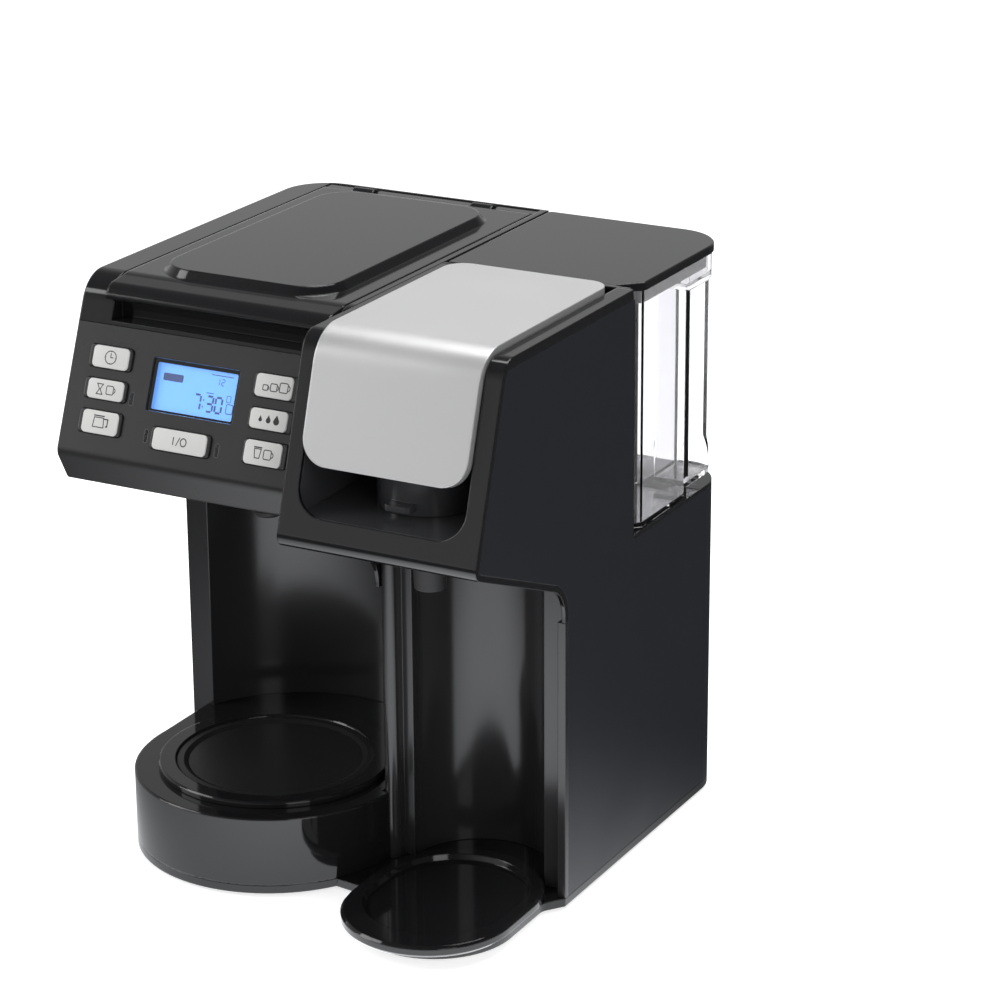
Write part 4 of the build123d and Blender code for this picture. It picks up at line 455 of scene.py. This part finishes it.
def strength_icon():
    """Three drops that grow to the right: each a ring of 260 degrees closed to a tip above it."""
    drops = []
    for step, middle in enumerate((-6.0, 0.0, 6.0)):
        radius = 1.3 + 0.45 * step
        drop = ring_path(middle, -0.6, radius, radius, 140, 260, 18)
        drops.append(filled(np.vstack([drop, [(middle, radius * 1.7)]])))
    return drops


def single_icon():
    """A pod with its rim beside a mug."""
    pod = [(-6.4, 2.6), (-1.4, 2.6), (-2.2, -3.4), (-5.6, -3.4)]
    rim = [(-7.0, 3.6), (-0.8, 3.6)]
    shapes = [stroke(pod, icon_line, True), stroke(rim, icon_line * 1.3)]
    return shapes + mug_shapes(3.6, -0.4, 5.6, 6.0, icon_line)


button_icons = {
    "clock_button": clock_icon,
    "delay_button": delay_icon,
    "carafe_button": carafe_icon,
    "brew_button": brew_icon,
    "size_button": size_icon,
    "strength_button": strength_icon,
    "single_button": single_icon,
}
for button, (button_x, button_s, size_x, size_s) in button_places.items():
    button_cap(button.replace("_button", "_cap"), button_x, button_s, size_x, size_s, button)
    middle = np.array([button_x, -button_s])
    icon = [(points * icon_scale + middle, faces) for points, faces in button_icons[button]()]
    mark_lift = button_proud + cap_height
    panel_mark(button.replace("_button", "_mark"), icon, mark_lift, finish["icon_ink"], button)


# What the display shows: a clock, a level bar, a small number and a cup
segment_lines = {
    "a": ((0.12, 1.0), (0.88, 1.0)),
    "b": ((1.0, 0.94), (1.0, 0.56)),
    "c": ((1.0, 0.44), (1.0, 0.06)),
    "d": ((0.12, 0.0), (0.88, 0.0)),
    "e": ((0.0, 0.44), (0.0, 0.06)),
    "f": ((0.0, 0.94), (0.0, 0.56)),
    "g": ((0.12, 0.5), (0.88, 0.5)),
}
lit_segments = {"0": "abcdef", "1": "bc", "2": "abged", "3": "abgcd", "7": "abc"}


def digit_shapes(digit, x, y, width, tall, line):
    """One seven-bar digit from its lower left corner: each bar a stroke between scaled ends."""
    shapes = []
    for bar in lit_segments[digit]:
        ends = np.array(segment_lines[bar]) * (width, tall) + (x, y)
        shapes.append(stroke(ends, line))
    return shapes


display_x, display_s = -64.4, 29.5
display_y = -display_s
clock_y = display_y - 10.5
number_y = display_y + 5.4
thin_line = 0.5
display_shapes = []
for digit, digit_x in (("7", 0.2), ("3", 8.6), ("0", 14.6)):
    display_shapes += digit_shapes(digit, display_x + digit_x, clock_y, 4.2, 8.8, 1.25)
for dot_y in (2.4, 6.2):
    dot = rounded_path(display_x + 6.4, clock_y + dot_y, 0.9, 0.9, 0.3)
    display_shapes.append(filled(dot))
for digit, digit_x in (("1", 13.0), ("2", 16.4)):
    display_shapes += digit_shapes(digit, display_x + digit_x, number_y, 2.0, 3.6, thin_line)
for start_x, end_x, line_y in ((7.5, 12.5, clock_y + 10.6), (9.0, 24.0, display_y + 10.8)):
    ends = [(display_x + start_x, line_y), (display_x + end_x, line_y)]
    display_shapes.append(stroke(ends, thin_line))
display_shapes.append(filled(rounded_path(display_x - 16.0, display_y + 5.5, 13.5, 4.4, 0.8)))
display_shapes += mug_shapes(display_x + 24.2, clock_y + 3.2, 4.4, 5.4, thin_line)
pod_outline = rounded_path(display_x + 22.9, clock_y + 8.8, 2.6, 3.6, 0.5)
display_shapes.append(stroke(pod_outline, 0.4, True))
display_depth = -4.1
panel_mark(
    "display_digits", display_shapes, display_depth, finish["segment_ink"], "housing", depth=0.05
)


def frame_shape(x, y, outer, inner, shift, radius):
    """A flat frame between two rounded rectangles, the inner one shifted from the middle."""
    outer = rounded_path(x, y, *outer, radius)
    inner = rounded_path(x + shift[0], y + shift[1], *inner, radius)
    count = len(outer)
    first = np.arange(count)
    after = (first + 1) % count
    faces = np.stack([first, after, after + count, first + count], 1)
    return np.vstack([outer, inner]), faces


window_depth = -1.2
window_frame = frame_shape(display_x, display_y, (58.2, 30.7), (54.2, 27.2), (0.7, -0.5), 1.0)
panel_mark(
    "display_frame", [window_frame], window_depth, finish["gloss_black"], "housing", depth=0.08
)
light_places = ((-104.2, 40.0), (-90.3, 59.6), (-42.0, 61.0))
light_outlines = [
    stroke(rounded_path(x, -s, 2.7, 7.9, 1.2), 0.28, True) for x, s in light_places
]
panel_mark("light_outlines", light_outlines, 0.0, finish["window_line"], "housing")


# Floor, backdrop and light
def stage_plane(name, size, place, material):
    """A large flat stage surface."""
    half = size / 2
    corners = [(-half, -half, 0), (half, -half, 0), (half, half, 0), (-half, half, 0)]
    mesh = bpy.data.meshes.new(name)
    mesh.from_pydata((np.array(corners) + place).tolist(), [], [(0, 1, 2, 3)])
    mesh.materials.append(material)
    plane = bpy.data.objects.new(name, mesh)
    bpy.context.scene.collection.objects.link(plane)


# The floor glows to the camera and through the tank. Polished pieces mirror a pool of light on it,
# which fades out from a place in front of the cup rest.
floor_white, floor_tree, floor_shader = principled("floor_white")
floor_shader.inputs["Base Color"].default_value = (0.8, 0.8, 0.8, 1)
floor_shader.inputs["Roughness"].default_value = 0.9
floor_shader.inputs["Emission Color"].default_value = (1, 1, 1, 1)
floor_rays = add_node(floor_tree, "ShaderNodeLightPath")
floor_seen = add_node(floor_tree, "ShaderNodeMath", operation="ADD")
floor_glow = add_node(floor_tree, "ShaderNodeMath", {1: 0.72}, operation="MULTIPLY")
floor_place = add_node(floor_tree, "ShaderNodeTexCoord")
floor_shift = add_node(floor_tree, "ShaderNodeMapping", {"Location": (-0.15, 0.36, 0.0)})
floor_reach = add_node(floor_tree, "ShaderNodeVectorMath", operation="LENGTH")
floor_tone = add_node(
    floor_tree,
    "ShaderNodeMapRange",
    {"From Min": 0.1, "From Max": 0.58, "To Min": 2.6, "To Max": 0.07},
    interpolation_type="SMOOTHSTEP",
)
floor_mirror = add_node(floor_tree, "ShaderNodeEmission", {"Color": (0.95, 0.97, 1.0, 1)})
mirror_only = add_node(floor_tree, "ShaderNodeMath", operation="SUBTRACT", use_clamp=True)
floor_mix = add_node(floor_tree, "ShaderNodeMixShader")
join(
    floor_tree,
    (floor_rays, "Is Camera Ray", floor_seen, 0),
    (floor_rays, "Is Transmission Ray", floor_seen, 1),
    (floor_seen, "Value", floor_glow, 0),
    (floor_glow, "Value", floor_shader, "Emission Strength"),
    (floor_place, "Object", floor_shift, "Vector"),
    (floor_shift, "Vector", floor_reach, 0),
    (floor_reach, "Value", floor_tone, "Value"),
    (floor_tone, "Result", floor_mirror, "Strength"),
    (floor_rays, "Is Glossy Ray", mirror_only, 0),
    (floor_rays, "Is Transmission Ray", mirror_only, 1),
    (mirror_only, "Value", floor_mix, "Fac"),
    (floor_shader, "BSDF", floor_mix, 1),
    (floor_mirror, "Emission", floor_mix, 2),
    (floor_mix, "Shader", floor_tree.nodes["Material Output"], "Surface"),
)
stage_plane("floor", 40.0, (0, 0, 0), floor_white)

# The sky is white to the camera and through the tank. Polished pieces mirror one that darkens
# upwards and to the right, and everything else is lit by an even one.
world = bpy.data.worlds.new("studio")
bpy.context.scene.world = world
world.use_nodes = True
sky_tree = world.node_tree
white_sky = sky_tree.nodes["Background"]
white_sky.inputs["Color"].default_value = (1, 1, 1, 1)
white_sky.inputs["Strength"].default_value = 1.0
even_sky = add_node(sky_tree, "ShaderNodeBackground", {"Color": (1, 1, 1, 1), "Strength": 0.42})
mirror_sky = add_node(sky_tree, "ShaderNodeBackground", {"Color": (1, 1, 1, 1)})
sky_rays = add_node(sky_tree, "ShaderNodeLightPath")
sky_seen = add_node(sky_tree, "ShaderNodeMath", operation="MAXIMUM")
sky_way = add_node(sky_tree, "ShaderNodeTexCoord")
sky_split = add_node(sky_tree, "ShaderNodeSeparateXYZ")
height_ramp = add_node(
    sky_tree,
    "ShaderNodeMapRange",
    {"From Min": 0.0, "From Max": 0.7, "To Min": 0.85, "To Max": 0.12},
)
side_ramp = add_node(
    sky_tree,
    "ShaderNodeMapRange",
    {"From Min": -0.35, "From Max": 0.45, "To Min": 1.0, "To Max": 0.15},
)
mirror_tone = add_node(sky_tree, "ShaderNodeMath", operation="MULTIPLY")
mirror_mix = add_node(sky_tree, "ShaderNodeMixShader")
sky_mix = add_node(sky_tree, "ShaderNodeMixShader")
join(
    sky_tree,
    (sky_way, "Generated", sky_split, "Vector"),
    (sky_split, "Z", height_ramp, "Value"),
    (sky_split, "X", side_ramp, "Value"),
    (height_ramp, "Result", mirror_tone, 0),
    (side_ramp, "Result", mirror_tone, 1),
    (mirror_tone, "Value", mirror_sky, "Strength"),
    (sky_rays, "Is Camera Ray", sky_seen, 0),
    (sky_rays, "Is Transmission Ray", sky_seen, 1),
    (sky_rays, "Is Glossy Ray", mirror_mix, "Fac"),
    (even_sky, "Background", mirror_mix, 1),
    (mirror_sky, "Background", mirror_mix, 2),
    (sky_seen, "Value", sky_mix, "Fac"),
    (mirror_mix, "Shader", sky_mix, 1),
    (white_sky, "Background", sky_mix, 2),
    (sky_mix, "Shader", sky_tree.nodes["World Output"], "Surface"),
)


def soft_box(name, place, size_x, size_y, power):
    """A rectangular studio lamp that points at the middle of the machine."""
    data = bpy.data.lights.new(name, "AREA")
    data.shape = "RECTANGLE"
    data.size = size_x
    data.size_y = size_y
    data.energy = power
    lamp = bpy.data.objects.new(name, data)
    place = Vector(place)
    turn = (Vector((0, 0, 0.2)) - place).to_track_quat("-Z", "Y")
    lamp.matrix_world = Matrix.Translation(place) @ turn.to_matrix().to_4x4()
    bpy.context.scene.collection.objects.link(lamp)


soft_box("top_lamp", (0.1, 0.5, 1.9), 1.6, 1.0, 26)
soft_box("left_lamp", (-1.7, -1.0, 1.1), 0.9, 1.6, 20)
soft_box("right_lamp", (1.6, -1.3, 0.9), 0.8, 1.5, 8)
